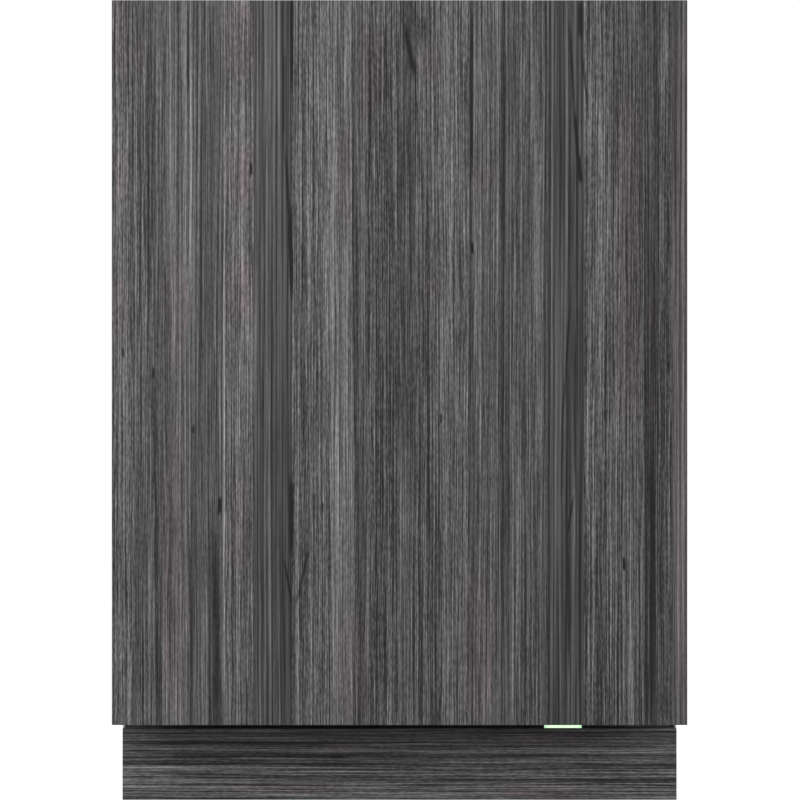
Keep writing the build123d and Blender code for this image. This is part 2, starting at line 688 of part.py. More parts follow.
# Side panels: folded sheets with a front and a rear return
fold_out = side_in
fold_in = tub_half + 6.0
fold_y = mouth_y + seat_gap
panel_top = cabinet_height - sheet
recess_top = 132.0  # of the rear recess for the connections
fold_low = recess_top + 5
fold_high = panel_top - 14
toe_height = 112.0  # clears the furniture panel's foot as the door opens
toe_y = plinth_back + 28
with BuildPart() as side_panels:
    both_blocks((side_in, side_out), (mouth_y, rear_y - sheet), (base_floor[0], panel_top))
    both_blocks((side_in, side_out), (mouth_y, toe_y), (base_floor[0], toe_height), Mode.SUBTRACT)
    both_blocks((fold_in, fold_out), (fold_y, fold_y + sheet), (lever_clear_z, fold_high))
    both_blocks((fold_in, fold_out), (rear_y - 2 * sheet, rear_y - sheet), (fold_low, fold_high))
    with Locations(*[(x, fold_y + sheet / 2, z) for x, z in screw_places]):
        Cylinder(screw_hole, sheet, rotation=(90, 0, 0), mode=Mode.SUBTRACT)
side_panels.part.label = "side_panels"
export_step(side_panels.part, "parts/side_panels.step")

# Screws that hold the frame to the side panels
screw_head = 3.4
head_height = 1.2
screw_length = 8.0
screw_shank = screw_hole - 0.1
with BuildPart() as cabinet_screws:
    for x, z in screw_places:
        rod((x, frame_y, z), (x, frame_y - head_height, z), screw_head)
        rod((x, frame_y, z), (x, frame_y + screw_length, z), screw_shank)
cabinet_screws.part.label = "cabinet_screws"
export_step(cabinet_screws.part, "parts/cabinet_screws.step")

# Top panel with turned-down edges
flange_x = (side_in - 0.2 - sheet, side_in - 0.2)
flange_front = mouth_y + 2
flange_z = (cabinet_height - 13, cabinet_height - sheet)
with BuildPart() as top_panel:
    block((-side_out, side_out), (mouth_y, rear_y), (cabinet_height - sheet, cabinet_height))
    both_blocks(flange_x, (flange_front, rear_y - 3), flange_z)
    block((-flange_x[0], flange_x[0]), (flange_front, flange_front + sheet), flange_z)
top_panel.part.label = "top_panel"
export_step(top_panel.part, "parts/top_panel.step")

# Rear panel above the recess for the connections
shelf_half = side_out - 4
shelf_depth = 14.0
with BuildPart() as rear_panel:
    block((-side_out, side_out), (rear_y - sheet, rear_y), (recess_top, cabinet_height - sheet))
    block((-shelf_half, shelf_half), (rear_y - shelf_depth, rear_y - sheet), (recess_top, recess_top + sheet))
rear_panel.part.label = "rear_panel"
export_step(rear_panel.part, "parts/rear_panel.step")

# Felt round the tub's sides, ceiling and back
felt = 4.0
felt_in = tub_half + stainless + 0.4
felt_low = 160.0
felt_front = mouth_y + 9
felt_top = tub_ceiling + 5
with BuildPart() as tub_insulation:
    block((-felt_in - felt, felt_in + felt), (felt_front, tub_back - seat_gap), (felt_low, felt_top))
    block((-felt_in, felt_in), (felt_front, tub_back - seat_gap), (felt_low, felt_top - felt), Mode.SUBTRACT)
    block((-felt_in - felt, felt_in + felt), (tub_back + field_press + seat_gap, tub_back + field_press + felt),
          (felt_low, felt_top))
tub_insulation.part.label = "tub_insulation"
export_step(tub_insulation.part, "parts/tub_insulation.step")

# Sump under the floor: a bowl with a seat for the filters and the pipe of the lower spray arm
sump_radius = 114.0
sump_bottom = 58.0
sump_wall = 3.0
filter_seat = tub_base - 3.0
filter_place = (75.0, middle_y - 70)
tower_radius = 16.0
tower_top = 182.0
with BuildPart() as sump:
    rod((*sump_place, sump_bottom), (*sump_place, tub_base - seat_gap), sump_radius)
    rod((*sump_place, filter_seat), (*sump_place, tub_base), sump_opening, Mode.SUBTRACT)
    rod((*sump_place, sump_bottom + sump_wall), (*sump_place, filter_seat), sump_opening - 4, Mode.SUBTRACT)
    rod((0, middle_y, sump_bottom + sump_wall), (0, middle_y, tower_top), tower_radius)
    rod((0, middle_y, sump_bottom + 2 * sump_wall), (0, middle_y, tower_top), tower_radius - 3, Mode.SUBTRACT)
sump.part.label = "sump"
export_step(sump.part, "parts/sump.step")

# Flat filter: a perforated stainless disc round the filter cylinder and the spray pipe
filter_sheet = 1.5
filter_radius = 36.0
hole_rings = {52: 36, 64: 44, 76: 52, 88: 60, 98: 68}
hole_radius = 1.3
with BuildPart() as flat_filter:
    with BuildSketch(Plane.XY.offset(filter_seat)):
        with Locations(sump_place):
            Circle(sump_opening - 2)
            for ring, holes in hole_rings.items():
                with PolarLocations(ring, holes):
                    Circle(hole_radius, mode=Mode.SUBTRACT)
        with Locations(filter_place):
            Circle(filter_radius + seat_gap, mode=Mode.SUBTRACT)
        with Locations((0, middle_y)):
            Circle(tower_radius + seat_gap, mode=Mode.SUBTRACT)
    extrude(amount=filter_sheet)
flat_filter.part.label = "flat_filter"
export_step(flat_filter.part, "parts/flat_filter.step")

# Filter cylinder: a cup that locks into the flat filter by a twist of its grip
cup_bottom = 92.0
collar_z = (filter_seat + filter_sheet + seat_gap, filter_seat + filter_sheet + 4)
grip_top = collar_z[1] + 13
with BuildPart() as filter_cylinder:
    rod((*filter_place, cup_bottom), (*filter_place, collar_z[1]), filter_radius)
    rod((*filter_place, collar_z[0]), (*filter_place, collar_z[1]), filter_radius + 5)
    rod((*filter_place, cup_bottom + 2), (*filter_place, collar_z[1]), filter_radius - 2, Mode.SUBTRACT)
    block((filter_place[0] - filter_radius - 2, filter_place[0] + filter_radius + 2),
          (filter_place[1] - 3, filter_place[1] + 3), (collar_z[1] - 2, grip_top))
filter_cylinder.part.label = "filter_cylinder"
export_step(filter_cylinder.part, "parts/filter_cylinder.step")

# Circulation pump: volute and motor lying beside the sump, with its rotor on a shaft
pump_y = sump_place[1]
pump_z = 90.0
volute_x = (sump_place[0] + sump_radius + 3, sump_place[0] + sump_radius + 33)
motor_x = (volute_x[1], wall_x[0] - 19)
motor_foot = (motor_x[1] - motor_x[0] - 22, 10.0, pump_z - 22 - base_floor[1])
volute_radius = 43.0
motor_radius = 36.0
shaft_radius = 4.0
rotor_radius = 28.0
with BuildPart() as circulation_pump:
    rod((volute_x[0], pump_y, pump_z), (volute_x[1], pump_y, pump_z), volute_radius)
    rod((motor_x[0], pump_y, pump_z), (motor_x[1], pump_y, pump_z), motor_radius)
    rod((volute_x[0] - 3, pump_y, pump_z - 12), (volute_x[0], pump_y, pump_z - 12), 15)
    rod((volute_x[0] + 5, pump_y, pump_z), (volute_x[1] - 5, pump_y, pump_z), rotor_radius + 3, Mode.SUBTRACT)
    rod((volute_x[0] + 5, pump_y, pump_z), (motor_x[1] - 4, pump_y, pump_z), shaft_radius + running_fit,
        Mode.SUBTRACT)
    with Locations(*[((motor_x[0] + motor_x[1]) / 2, pump_y + y, base_floor[1]) for y in (-24, 24)]):
        Box(*motor_foot, align=(Align.CENTER, Align.CENTER, Align.MIN))
circulation_pump.part.label = "circulation_pump"
export_step(circulation_pump.part, "parts/circulation_pump.step")

disc_x = (volute_x[0] + 7, volute_x[0] + 10)
vane_size = (rotor_radius - 4, 2.0, 9.0)
with BuildPart() as pump_rotor:
    rod((disc_x[0], pump_y, pump_z), (motor_x[1] - 5, pump_y, pump_z), shaft_radius)
    rod((disc_x[0], pump_y, pump_z), (disc_x[1], pump_y, pump_z), rotor_radius)
    with Locations(Plane(origin=(disc_x[1] + vane_size[2] / 2, pump_y, pump_z), z_dir=(1, 0, 0))):
        with PolarLocations(rotor_radius / 2 + 1, 6):
            Box(*vane_size)
pump_rotor.part.label = "pump_rotor"
export_step(pump_rotor.part, "parts/pump_rotor.step")

# Drain pump behind the sump, with its moulded outlet pipe to the rear
drain_pump_y = (sump_place[1] + sump_radius + 0.5, sump_place[1] + sump_radius + 60)
drain_body = 27.0
drain_foot_half = 16.0
with BuildPart() as drain_pump:
    rod((drain_place[0], drain_pump_y[0], drain_place[1]), (drain_place[0], drain_pump_y[1], drain_place[1]),
        drain_body)
    rod((drain_place[0], drain_pump_y[1], drain_place[1]), (drain_place[0], rear_y - 6, drain_place[1]),
        drain_spigot)
    rod((drain_place[0], drain_pump_y[1], drain_place[1]), (drain_place[0], rear_y - 6, drain_place[1]),
        drain_spigot - plastic_wall, Mode.SUBTRACT)
    block((drain_place[0] - drain_foot_half, drain_place[0] + drain_foot_half),
          (drain_pump_y[0] + 10, drain_pump_y[0] + 40), (base_floor[1], drain_place[1] - 20))
drain_pump.part.label = "drain_pump"
export_step(drain_pump.part, "parts/drain_pump.step")

# Water softener with the filling neck for salt, and its cap
softener_x = (18 - wall_x[0], 161 - wall_x[0])
softener_y = (middle_y - 80, middle_y + 80)
softener_top = tub_base - 12
softener_round = 14.0
salt_floor = 70.0
neck_top = tub_base + 7
with BuildPart() as water_softener:
    block(softener_x, softener_y, (base_floor[1], softener_top))
    fillet(water_softener.edges().filter_by(Axis.Z), softener_round)
    rod((*neck_place, softener_top), (*neck_place, neck_top), neck_radius)
    rod((*neck_place, salt_floor), (*neck_place, neck_top), neck_radius - 3, Mode.SUBTRACT)
water_softener.part.label = "water_softener"
export_step(water_softener.part, "parts/water_softener.step")

salt_cap_top = tub_base + 16
with BuildPart() as salt_cap:
    rod((*neck_place, tub_base + floor_sheet + seat_gap), (*neck_place, salt_cap_top - 5), neck_radius + 4)
    rod((*neck_place, tub_base), (*neck_place, neck_top + seat_gap), neck_radius + running_fit, Mode.SUBTRACT)
    block((neck_place[0] - 22, neck_place[0] + 22), (neck_place[1] - 4, neck_place[1] + 4),
          (salt_cap_top - 5, salt_cap_top))
salt_cap.part.label = "salt_cap"
export_step(salt_cap.part, "parts/salt_cap.step")

# Inlet valve at the rear, with its threaded spigot in the recess
valve_half = 18.0
valve_y = (base_back - 43, back_wall_y[0] - seat_gap)
spigot_tip = base_back + 20
spigot_bore = 5.0
coil_radius = 11.0
coil_top = 126.0
coil_y = base_back - 25
with BuildPart() as inlet_valve:
    block((inlet_place[0] - valve_half, inlet_place[0] + valve_half), valve_y,
          (base_floor[1], inlet_place[1] + valve_half))
    rod((inlet_place[0], valve_y[1] - 0.7, inlet_place[1]), (inlet_place[0], spigot_tip, inlet_place[1]),
        inlet_spigot)
    rod((inlet_place[0], valve_y[1] - 0.7, inlet_place[1]), (inlet_place[0], spigot_tip, inlet_place[1]),
        spigot_bore, Mode.SUBTRACT)
    rod((inlet_place[0], coil_y, inlet_place[1] + valve_half), (inlet_place[0], coil_y, coil_top), coil_radius)
inlet_valve.part.label = "inlet_valve"
export_step(inlet_valve.part, "parts/inlet_valve.step")

# Flat water chamber between the tub and the left side panel
chamber_thickness = 11.5
water_chamber_y = (middle_y - 130, middle_y + 70)
water_chamber_z = (250.0, tub_ceiling - 165)
chamber_round = 12.0
with BuildPart() as water_inlet_chamber:
    block((-side_in + seat_gap, -side_in + seat_gap + chamber_thickness), water_chamber_y, water_chamber_z)
    fillet(water_inlet_chamber.edges().filter_by(Axis.X), chamber_round)
water_inlet_chamber.part.label = "water_inlet_chamber"
export_step(water_inlet_chamber.part, "parts/water_inlet_chamber.step")

# Terminal box with the mains inlet in its back
terminal_y = (base_back - 63, back_wall_y[0] - seat_gap)
socket_floor = base_back - 20
socket_middle = ((socket_x[0] + socket_x[1]) / 2, (socket_z[0] + socket_z[1]) / 2)
pin_pitch = 7.0
pin_size = (2.0, 12.0, 4.0)
with BuildPart() as terminal_box:
    block(terminal_x, terminal_y, (base_floor[1], terminal_top))
    block((socket_x[0] + plastic_wall, socket_x[1] - plastic_wall), (socket_floor, terminal_y[1]),
          (socket_z[0] + plastic_wall, socket_z[1] - plastic_wall), Mode.SUBTRACT)
    with Locations(*[(socket_middle[0] + i * pin_pitch, socket_floor + pin_size[1] / 2, socket_middle[1])
                     for i in (-1, 0, 1)]):
        Box(*pin_size)
terminal_box.part.label = "terminal_box"
export_step(terminal_box.part, "parts/terminal_box.step")

# Feed pipe up the rear wall and along the ceiling, with a port for the upper rack
feed_half = 20.0
feed_y = (tub_back - 15, tub_back - seat_gap)
feed_low = tub_base + floor_sheet + seat_gap
port_z = upper_floor - 14
port_reach = 6.0
port_radius = 12.0
pipe_round = 5.0
duct_half = 14.0
duct_z = (tub_ceiling - 16, tub_ceiling - 0.5)
duct_front = middle_y - 20
axle_radius = 6.0
with BuildPart() as spray_feed_pipe:
    block((-feed_half, feed_half), (feed_y[0], floor_back - floor_sheet - 0.2), (feed_low, ledge_top + 1))
    block((-feed_half, feed_half), feed_y, (ledge_top + 0.5, duct_z[1]))
    fillet(spray_feed_pipe.edges().filter_by(Axis.Z).group_by(Axis.Y)[0], pipe_round)
    block((-duct_half, duct_half), (duct_front, feed_y[1]), duct_z)
    rod((0, feed_y[0] - port_reach, port_z), (0, feed_y[0], port_z), port_radius)
    rod((0, feed_y[0] - port_reach, port_z), (0, feed_y[0], port_z), port_radius - 3, Mode.SUBTRACT)
    rod((0, middle_y, duct_z[0] - 1), (0, middle_y, duct_z[0] + 8), axle_radius + running_fit, Mode.SUBTRACT)
spray_feed_pipe.part.label = "spray_feed_pipe"
export_step(spray_feed_pipe.part, "parts/spray_feed_pipe.step")

# Spray arms: two hollow blades on a hub
arm_thickness = 14.0
hub_radius = 24.0
root_half = 21.0
tip_half = 13.0
tip_length = 14.0
nozzle_size = (9.0, 3.0)
lower_reach = (tub_back - mouth_y) / 2 - 27
upper_reach = lower_reach - 7


def spray_arm(reach, bottom, nozzles):
    """Two tapered blades, with nozzle slots in the upper face."""
    with BuildSketch(Plane.XY.offset(bottom)) as blades:
        with Locations((0, middle_y)):
            Circle(hub_radius)
        for side in (-1, 1):
            with BuildLine():
                Polyline(
                    (0, middle_y - root_half),
                    (side * (reach - tip_length), middle_y - tip_half),
                    (side * reach, middle_y),
                    (side * (reach - tip_length), middle_y + tip_half),
                    (0, middle_y + root_half),
                    close=True,
                )
            make_face()
    extrude(blades.sketch, amount=arm_thickness)
    with BuildSketch(Plane.XY.offset(bottom + arm_thickness)) as slots:
        for side in (-1, 1):
            for index in range(nozzles):
                place = side * (50 + index * (reach - 75) / (nozzles - 1))
                with Locations((place, middle_y + side * (index % 2 * 8 - 4))):
                    SlotOverall(*nozzle_size)
    extrude(slots.sketch, amount=-2, mode=Mode.SUBTRACT)


lower_arm_z = ledge_top + 2.3
with BuildPart() as lower_spray_arm:
    spray_arm(lower_reach, lower_arm_z, 6)
    fillet(lower_spray_arm.edges().filter_by(Axis.Z).group_by(Axis.X)[-1], 5)
    rod((0, middle_y, lower_arm_z), (0, middle_y, tower_top + 0.8), tower_radius + running_fit, Mode.SUBTRACT)
lower_spray_arm.part.label = "lower_spray_arm"
export_step(lower_spray_arm.part, "parts/lower_spray_arm.step")

drop_radius = 13.0
drop_bottom = upper_arm_z + 6
with BuildPart() as upper_spray_arm:
    spray_arm(upper_reach, upper_arm_z, 6)
    rod((0, middle_y, drop_bottom - 0.8), (0, middle_y, upper_arm_z + arm_thickness),
        drop_radius + running_fit, Mode.SUBTRACT)
upper_spray_arm.part.label = "upper_spray_arm"
export_step(upper_spray_arm.part, "parts/upper_spray_arm.step")

# Ceiling spray rotor on its axle under the duct
rotor_z = (duct_z[0] - 9, duct_z[0] - 1)
rotor_hub = 16.0
rotor_size = (96.0, 18.0, rotor_z[1] - rotor_z[0])
with BuildPart() as ceiling_spray_rotor:
    rod((0, middle_y, rotor_z[0]), (0, middle_y, rotor_z[1]), rotor_hub)
    with Locations((0, middle_y, (rotor_z[0] + rotor_z[1]) / 2)):
        Box(*rotor_size)
    rod((0, middle_y, rotor_z[1]), (0, middle_y, duct_z[0] + 7), axle_radius)
ceiling_spray_rotor.part.label = "ceiling_spray_rotor"
export_step(ceiling_spray_rotor.part, "parts/ceiling_spray_rotor.step")

# Rails on the tub sides: channels for the telescopic upper rack and ledges for the cutlery tray
rail_out = tub_half - seat_gap
rail_y = (mouth_y + 19, tub_back - 39)
rail_z = (tub_ceiling - 243, tub_ceiling - 211)
rail_sheet = 1.2
channel_in = tub_half - 12
tray_flange_z = (tub_ceiling - 67, tub_ceiling - 64)
tray_flange_out = tub_half - 6.5
with BuildPart() as rack_rails:
    both_blocks((rail_out - rail_sheet, rail_out), rail_y, rail_z)
    both_blocks((channel_in, rail_out), rail_y, (rail_z[0], rail_z[0] + rail_sheet))
    both_blocks((channel_in, rail_out), rail_y, (rail_z[1] - rail_sheet, rail_z[1]))
    both_blocks((rail_out - rail_sheet, rail_out), rail_y, (tray_flange_z[0] - 8, tray_flange_z[1] + 8))
    both_blocks((channel_in, rail_out), rail_y,
                (tray_flange_z[0] - seat_gap - rail_sheet, tray_flange_z[0] - seat_gap))
    both_blocks((channel_in, rail_out), rail_y,
                (tray_flange_z[1] + seat_gap, tray_flange_z[1] + seat_gap + rail_sheet))
rack_rails.part.label = "rack_rails"
export_step(rack_rails.part, "parts/rack_rails.step")

# Middle slides of the telescopic rails
slide_z = (rail_z[0] + rail_sheet + seat_gap, rail_z[1] - rail_sheet - seat_gap)
slide_out = rail_out - rail_sheet - seat_gap
with BuildPart() as rail_slides:
    both_blocks((slide_out - rail_sheet, slide_out), rail_y, slide_z)
    both_blocks((channel_in, slide_out), rail_y, (slide_z[0], slide_z[0] + rail_sheet))
    both_blocks((channel_in, slide_out), rail_y, (slide_z[1] - rail_sheet, slide_z[1]))
rail_slides.part.label = "rail_slides"
export_step(rail_slides.part, "parts/rail_slides.step")

# Lower rack: coated wire basket with fixed tines and axles for its wheels
rack_wire = 2.0
rim_wire = 2.5
tine_wire = 1.75
bend = 22.0
wheel_radius = 18.0
tyre_round = 1.0
wheel_z = ledge_top + 0.6 + wheel_radius
wheel_y = (rack_y[0] + 38, rack_y[1] - 50)
cross_count = 8
long_pitch = (2 * lower_half - 74) / 6
crossing = 2 * rack_wire + weld_gap
rim_off = rack_wire + rim_wire + weld_gap
tines_per_row = 14
tine_pitch = (2 * lower_half - 129) / (tines_per_row - 1)
tine_length = 92.0
fixed_rows = (middle_y + 50, middle_y + 140)
fold_rows = {"fold_tines_front": middle_y - 140, "fold_tines_back": middle_y - 50}
bar_z = lower_floor + 2 * crossing
bar_over = 10.0  # past the last tine
wheel_x = (tub_half - 18.5, tub_half - 10.5)
axle = 3.0
carrier_x = (lower_half + rack_wire + 0.3, wheel_x[0] - 0.4)
carrier_half = 12.0
carrier_z = (wheel_z - 7, lower_floor + 18)
axle_end = wheel_x[1] + 0.6
cross_y = [wheel_y[0] + i * (wheel_y[1] - wheel_y[0]) / (cross_count - 1) for i in range(cross_count)]
row_x = [(i - (tines_per_row - 1) / 2) * tine_pitch for i in range(tines_per_row)]

with BuildPart() as lower_cross_wire:
    wire([(-lower_half, 0, lower_rim), (-lower_half, 0, lower_floor), (lower_half, 0, lower_floor),
          (lower_half, 0, lower_rim)], bend, rack_wire)

with BuildPart() as lower_long_wire:
    wire([(0, rack_y[0], lower_rim), (0, rack_y[0], lower_floor + crossing),
          (0, rack_y[1], lower_floor + crossing), (0, rack_y[1], lower_rim)], bend, rack_wire)

with BuildPart() as lower_rack:
    with Locations(*[(0, y, 0) for y in cross_y]):
        add(lower_cross_wire.part)
    with Locations(*[(i * long_pitch, 0, 0) for i in range(-3, 4)]):
        add(lower_long_wire.part)
    for height in (lower_rim - rim_wire, (lower_floor + lower_rim) / 2):
        ring_wire(lower_half + rim_off, (rack_y[0] - rim_off, rack_y[1] + rim_off), height, bend + rim_off,
                  rim_wire)
    for row in fixed_rows:
        rod((row_x[0] - bar_over, row, bar_z), (row_x[-1] + bar_over, row, bar_z), rack_wire)
    with Locations(*[(x, row, bar_z + rack_wire + weld_gap) for row in fixed_rows for x in row_x]):
        Cylinder(tine_wire, tine_length, align=(Align.CENTER, Align.CENTER, Align.MIN))
    for y in wheel_y:
        both_blocks(carrier_x, (y - carrier_half, y + carrier_half), carrier_z)
        both_rods((carrier_x[1], y, wheel_z), (axle_end, y, wheel_z), axle)
lower_rack.part.label = "lower_rack"
export_step(lower_rack.part, "parts/lower_rack.step")

# Wheels of the lower rack, a pair on each axle line
for label, y in (("front_wheels", wheel_y[0]), ("rear_wheels", wheel_y[1])):
    with BuildPart() as wheels:
        both_rods((wheel_x[0], y, wheel_z), (wheel_x[1], y, wheel_z), wheel_radius)
        fillet(wheels.edges().filter_by(GeomType.CIRCLE), tyre_round)
        both_rods((wheel_x[0], y, wheel_z), (wheel_x[1], y, wheel_z), axle + running_fit, Mode.SUBTRACT)
    wheels.part.label = label
    export_step(wheels.part, f"parts/{label}.step")

# Fold-down tine rows, each turning about its bar
fold_length = 70.0
fold_over = 14.0
fold_z = bar_z + 0.4
for label, row in fold_rows.items():
    with BuildPart() as fold_tines:
        rod((row_x[0] - fold_over, row, fold_z), (row_x[-1] + fold_over, row, fold_z), rack_wire)
        with Locations(*[(x, row, fold_z + rack_wire + weld_gap) for x in row_x]):
            Cylinder(tine_wire, fold_length, align=(Align.CENTER, Align.CENTER, Align.MIN))
    fold_tines.part.label = label
    export_step(fold_tines.part, f"parts/{label}.step")

# Upper rack: wire basket with its spray feed and the inner bars of its rails
upper_pitch = (rack_y[1] - rack_y[0] - 68) / 6
upper_cross_y = [rack_y[0] + 28 + i * upper_pitch for i in range(7)]
upper_long_x = [(i - 2.5) * (2 * upper_half - 92) / 5 for i in range(6)]
cup_tine = 50.0
feed_radius = 9.0
inner_bar_x = (channel_in, slide_out - rail_sheet - seat_gap)
inner_bar_z = (slide_z[0] + rail_sheet + seat_gap, slide_z[1] - rail_sheet - seat_gap)
hanger_x = (upper_half + rack_wire + 0.3, inner_bar_x[0])
hanger_z = (inner_bar_z[0] + 3, inner_bar_z[0] + 12)
hanger_half = 15.0

with BuildPart() as upper_cross_wire:
    wire([(-upper_half, 0, upper_rim), (-upper_half, 0, upper_floor), (upper_half, 0, upper_floor),
          (upper_half, 0, upper_rim)], bend, rack_wire)

with BuildPart() as upper_long_wire:
    wire([(0, rack_y[0], upper_rim), (0, rack_y[0], upper_floor + crossing),
          (0, rack_y[1], upper_floor + crossing), (0, rack_y[1], upper_rim)], bend, rack_wire)

with BuildPart() as upper_rack:
    with Locations(*[(0, y, 0) for y in upper_cross_y]):
        add(upper_cross_wire.part)
    with Locations(*[(x, 0, 0) for x in upper_long_x]):
        add(upper_long_wire.part)
    for height in (upper_rim - rim_wire, (upper_floor + upper_rim) / 2 + 20):
        ring_wire(upper_half + rim_off, (rack_y[0] - rim_off, rack_y[1] + rim_off), height, bend + rim_off,
                  rim_wire)
    cup_z = upper_floor + crossing + rack_wire + weld_gap
    cup_y = [upper_cross_y[0] + (i + 0.5) * upper_pitch / 2 for i in range(12)]
    with Locations(*[(x, y, cup_z) for x in (upper_long_x[1], upper_long_x[4]) for y in cup_y]):
        Cylinder(tine_wire, cup_tine, align=(Align.CENTER, Align.CENTER, Align.MIN))
    both_blocks(inner_bar_x, rail_y, inner_bar_z)
    for y in (upper_cross_y[1], upper_cross_y[5]):
        both_blocks(hanger_x, (y - hanger_half, y + hanger_half), hanger_z)
    rod((0, rack_y[1] + 6, port_z), (0, middle_y, port_z), feed_radius)
    rod((0, middle_y, drop_bottom), (0, middle_y, upper_floor - rack_wire - seat_gap), drop_radius)
upper_rack.part.label = "upper_rack"
export_step(upper_rack.part, "parts/upper_rack.step")

# Cutlery tray: a shallow moulded grid with low dividers, on two side flanges
tray_half = tub_half - 30
tray_y = (mouth_y + 24, tub_back - 34)
tray_z = (tub_ceiling - 75, tub_ceiling - 43)
tray_wall = 3.0
divider = 2.0
cell_count = (10, 8)
cell_web = 6.0
divider_height = 12.0
tray_depth = tray_y[1] - tray_y[0]
tray_middle = (tray_y[0] + tray_y[1]) / 2
cell_pitch = (2 * tray_half / cell_count[0] - 1, tray_depth / cell_count[1] - 1)
with BuildPart() as cutlery_tray:
    with BuildSketch(Plane.XY.offset(tray_z[0])):
        with Locations((0, tray_middle)):
            Rectangle(2 * tray_half, tray_depth)
            with GridLocations(*cell_pitch, *cell_count):
                Rectangle(cell_pitch[0] - cell_web, cell_pitch[1] - cell_web, mode=Mode.SUBTRACT)
    extrude(amount=tray_wall)
    with BuildSketch(Plane.XY.offset(tray_z[0] + tray_wall)):
        with Locations((0, tray_middle)):
            Rectangle(2 * tray_half, tray_depth)
            Rectangle(2 * (tray_half - tray_wall), tray_depth - 2 * tray_wall, mode=Mode.SUBTRACT)
            with GridLocations(0, cell_pitch[1], 1, cell_count[1] - 1):
                Rectangle(2 * tray_half, divider)
    extrude(amount=divider_height)
    with BuildSketch(Plane.XY.offset(tray_z[0] + tray_wall + divider_height)):
        with Locations((0, tray_middle)):
            Rectangle(2 * tray_half, tray_depth)
            Rectangle(2 * (tray_half - tray_wall), tray_depth - 2 * tray_wall, mode=Mode.SUBTRACT)
    extrude(amount=tray_z[1] - tray_z[0] - tray_wall - divider_height)
    both_blocks((tray_half - 1, tray_flange_out), (tray_y[0] + 20, tray_y[1] - 20), tray_flange_z)
cutlery_tray.part.label = "cutlery_tray"
export_step(cutlery_tray.part, "parts/cutlery_tray.step")
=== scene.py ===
import json
from math import copysign, pi, radians
import bmesh
import bpy
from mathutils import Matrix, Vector

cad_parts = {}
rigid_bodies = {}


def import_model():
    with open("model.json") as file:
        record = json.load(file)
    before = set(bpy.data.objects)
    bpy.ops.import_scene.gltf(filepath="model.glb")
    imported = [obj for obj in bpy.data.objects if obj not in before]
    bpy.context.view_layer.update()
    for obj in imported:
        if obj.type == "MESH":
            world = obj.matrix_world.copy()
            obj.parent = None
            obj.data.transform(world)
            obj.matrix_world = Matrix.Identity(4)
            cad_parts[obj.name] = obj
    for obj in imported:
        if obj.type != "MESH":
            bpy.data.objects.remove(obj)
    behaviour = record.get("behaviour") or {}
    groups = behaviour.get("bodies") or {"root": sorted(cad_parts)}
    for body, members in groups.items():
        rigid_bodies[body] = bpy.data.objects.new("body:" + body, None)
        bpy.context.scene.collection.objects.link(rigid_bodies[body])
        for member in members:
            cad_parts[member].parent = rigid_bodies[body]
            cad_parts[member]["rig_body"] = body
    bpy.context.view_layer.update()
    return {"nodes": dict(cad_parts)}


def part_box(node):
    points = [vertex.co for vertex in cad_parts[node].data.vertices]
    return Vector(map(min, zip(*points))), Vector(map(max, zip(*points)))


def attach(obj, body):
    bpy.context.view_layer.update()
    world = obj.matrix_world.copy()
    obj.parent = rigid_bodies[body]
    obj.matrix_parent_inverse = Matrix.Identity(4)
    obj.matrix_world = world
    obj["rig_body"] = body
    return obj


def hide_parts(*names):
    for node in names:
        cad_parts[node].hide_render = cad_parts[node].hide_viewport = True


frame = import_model()

# Camera: level, 3.15 m in front of the furniture panel and 43 cm above the floor,
# with the long lens that a catalogue picture of a kitchen front is taken with.
lens = bpy.data.cameras.new("front_camera")
lens.sensor_width = 36
lens.lens = 136.78
lens.clip_end = 60
camera = bpy.data.objects.new("front_camera", lens)
camera.location = (0.00047, -3.4365, 0.4272)
camera.rotation_euler = (radians(90), 0, 0)
bpy.context.collection.objects.link(camera)
bpy.context.scene.camera = camera
bpy.context.scene.view_settings.view_transform = "Standard"


# Studio: a plain pale floor that runs out to white, a plain sky and four large soft lamps.
# The floor is matt paint that takes the shadow, with an even white laid over it for the
# camera and, at half strength, for what mirrors it.
class Tone:
    """One socket of a finish. Sums on it add Math nodes, and node() adds any other kind."""

    def __init__(self, tree, socket):
        self.tree = tree
        self.socket = socket

    def node(self, kind, settings, inputs, out=0):
        made = self.tree.nodes.new("ShaderNode" + kind)
        for name, value in settings.items():
            if name == "stops":
                while len(made.color_ramp.elements) < len(value):
                    made.color_ramp.elements.new(1.0)
                for stop, (place, colour) in zip(made.color_ramp.elements, value):
                    stop.position = place
                    stop.color = colour
            elif name == "steps":
                made.color_ramp.interpolation = value
            else:
                setattr(made, name, value)
        for name, value in inputs.items():
            if isinstance(value, Tone):
                self.tree.links.new(value.socket, made.inputs[name])
            else:
                made.inputs[name].default_value = value
        return Tone(self.tree, made.outputs[out])

    def parts(self):
        """The three numbers of a vector or colour."""
        split = self.node("SeparateXYZ", {}, {"Vector": self})
        return [Tone(self.tree, output) for output in split.socket.node.outputs]

    def maths(self, operation, other=0.0):
        return self.node("Math", {"operation": operation}, {0: self, 1: other})

    def __add__(self, other):
        return self.maths("ADD", other)

    def __mul__(self, other):
        return self.maths("MULTIPLY", other)

    def __sub__(self, other):
        return self.maths("SUBTRACT", other)

    def __rsub__(self, other):
        return self.node("Math", {"operation": "SUBTRACT"}, {0: other, 1: self})

    __radd__ = __add__
    __rmul__ = __mul__

    def __abs__(self):
        return self.maths("ABSOLUTE")


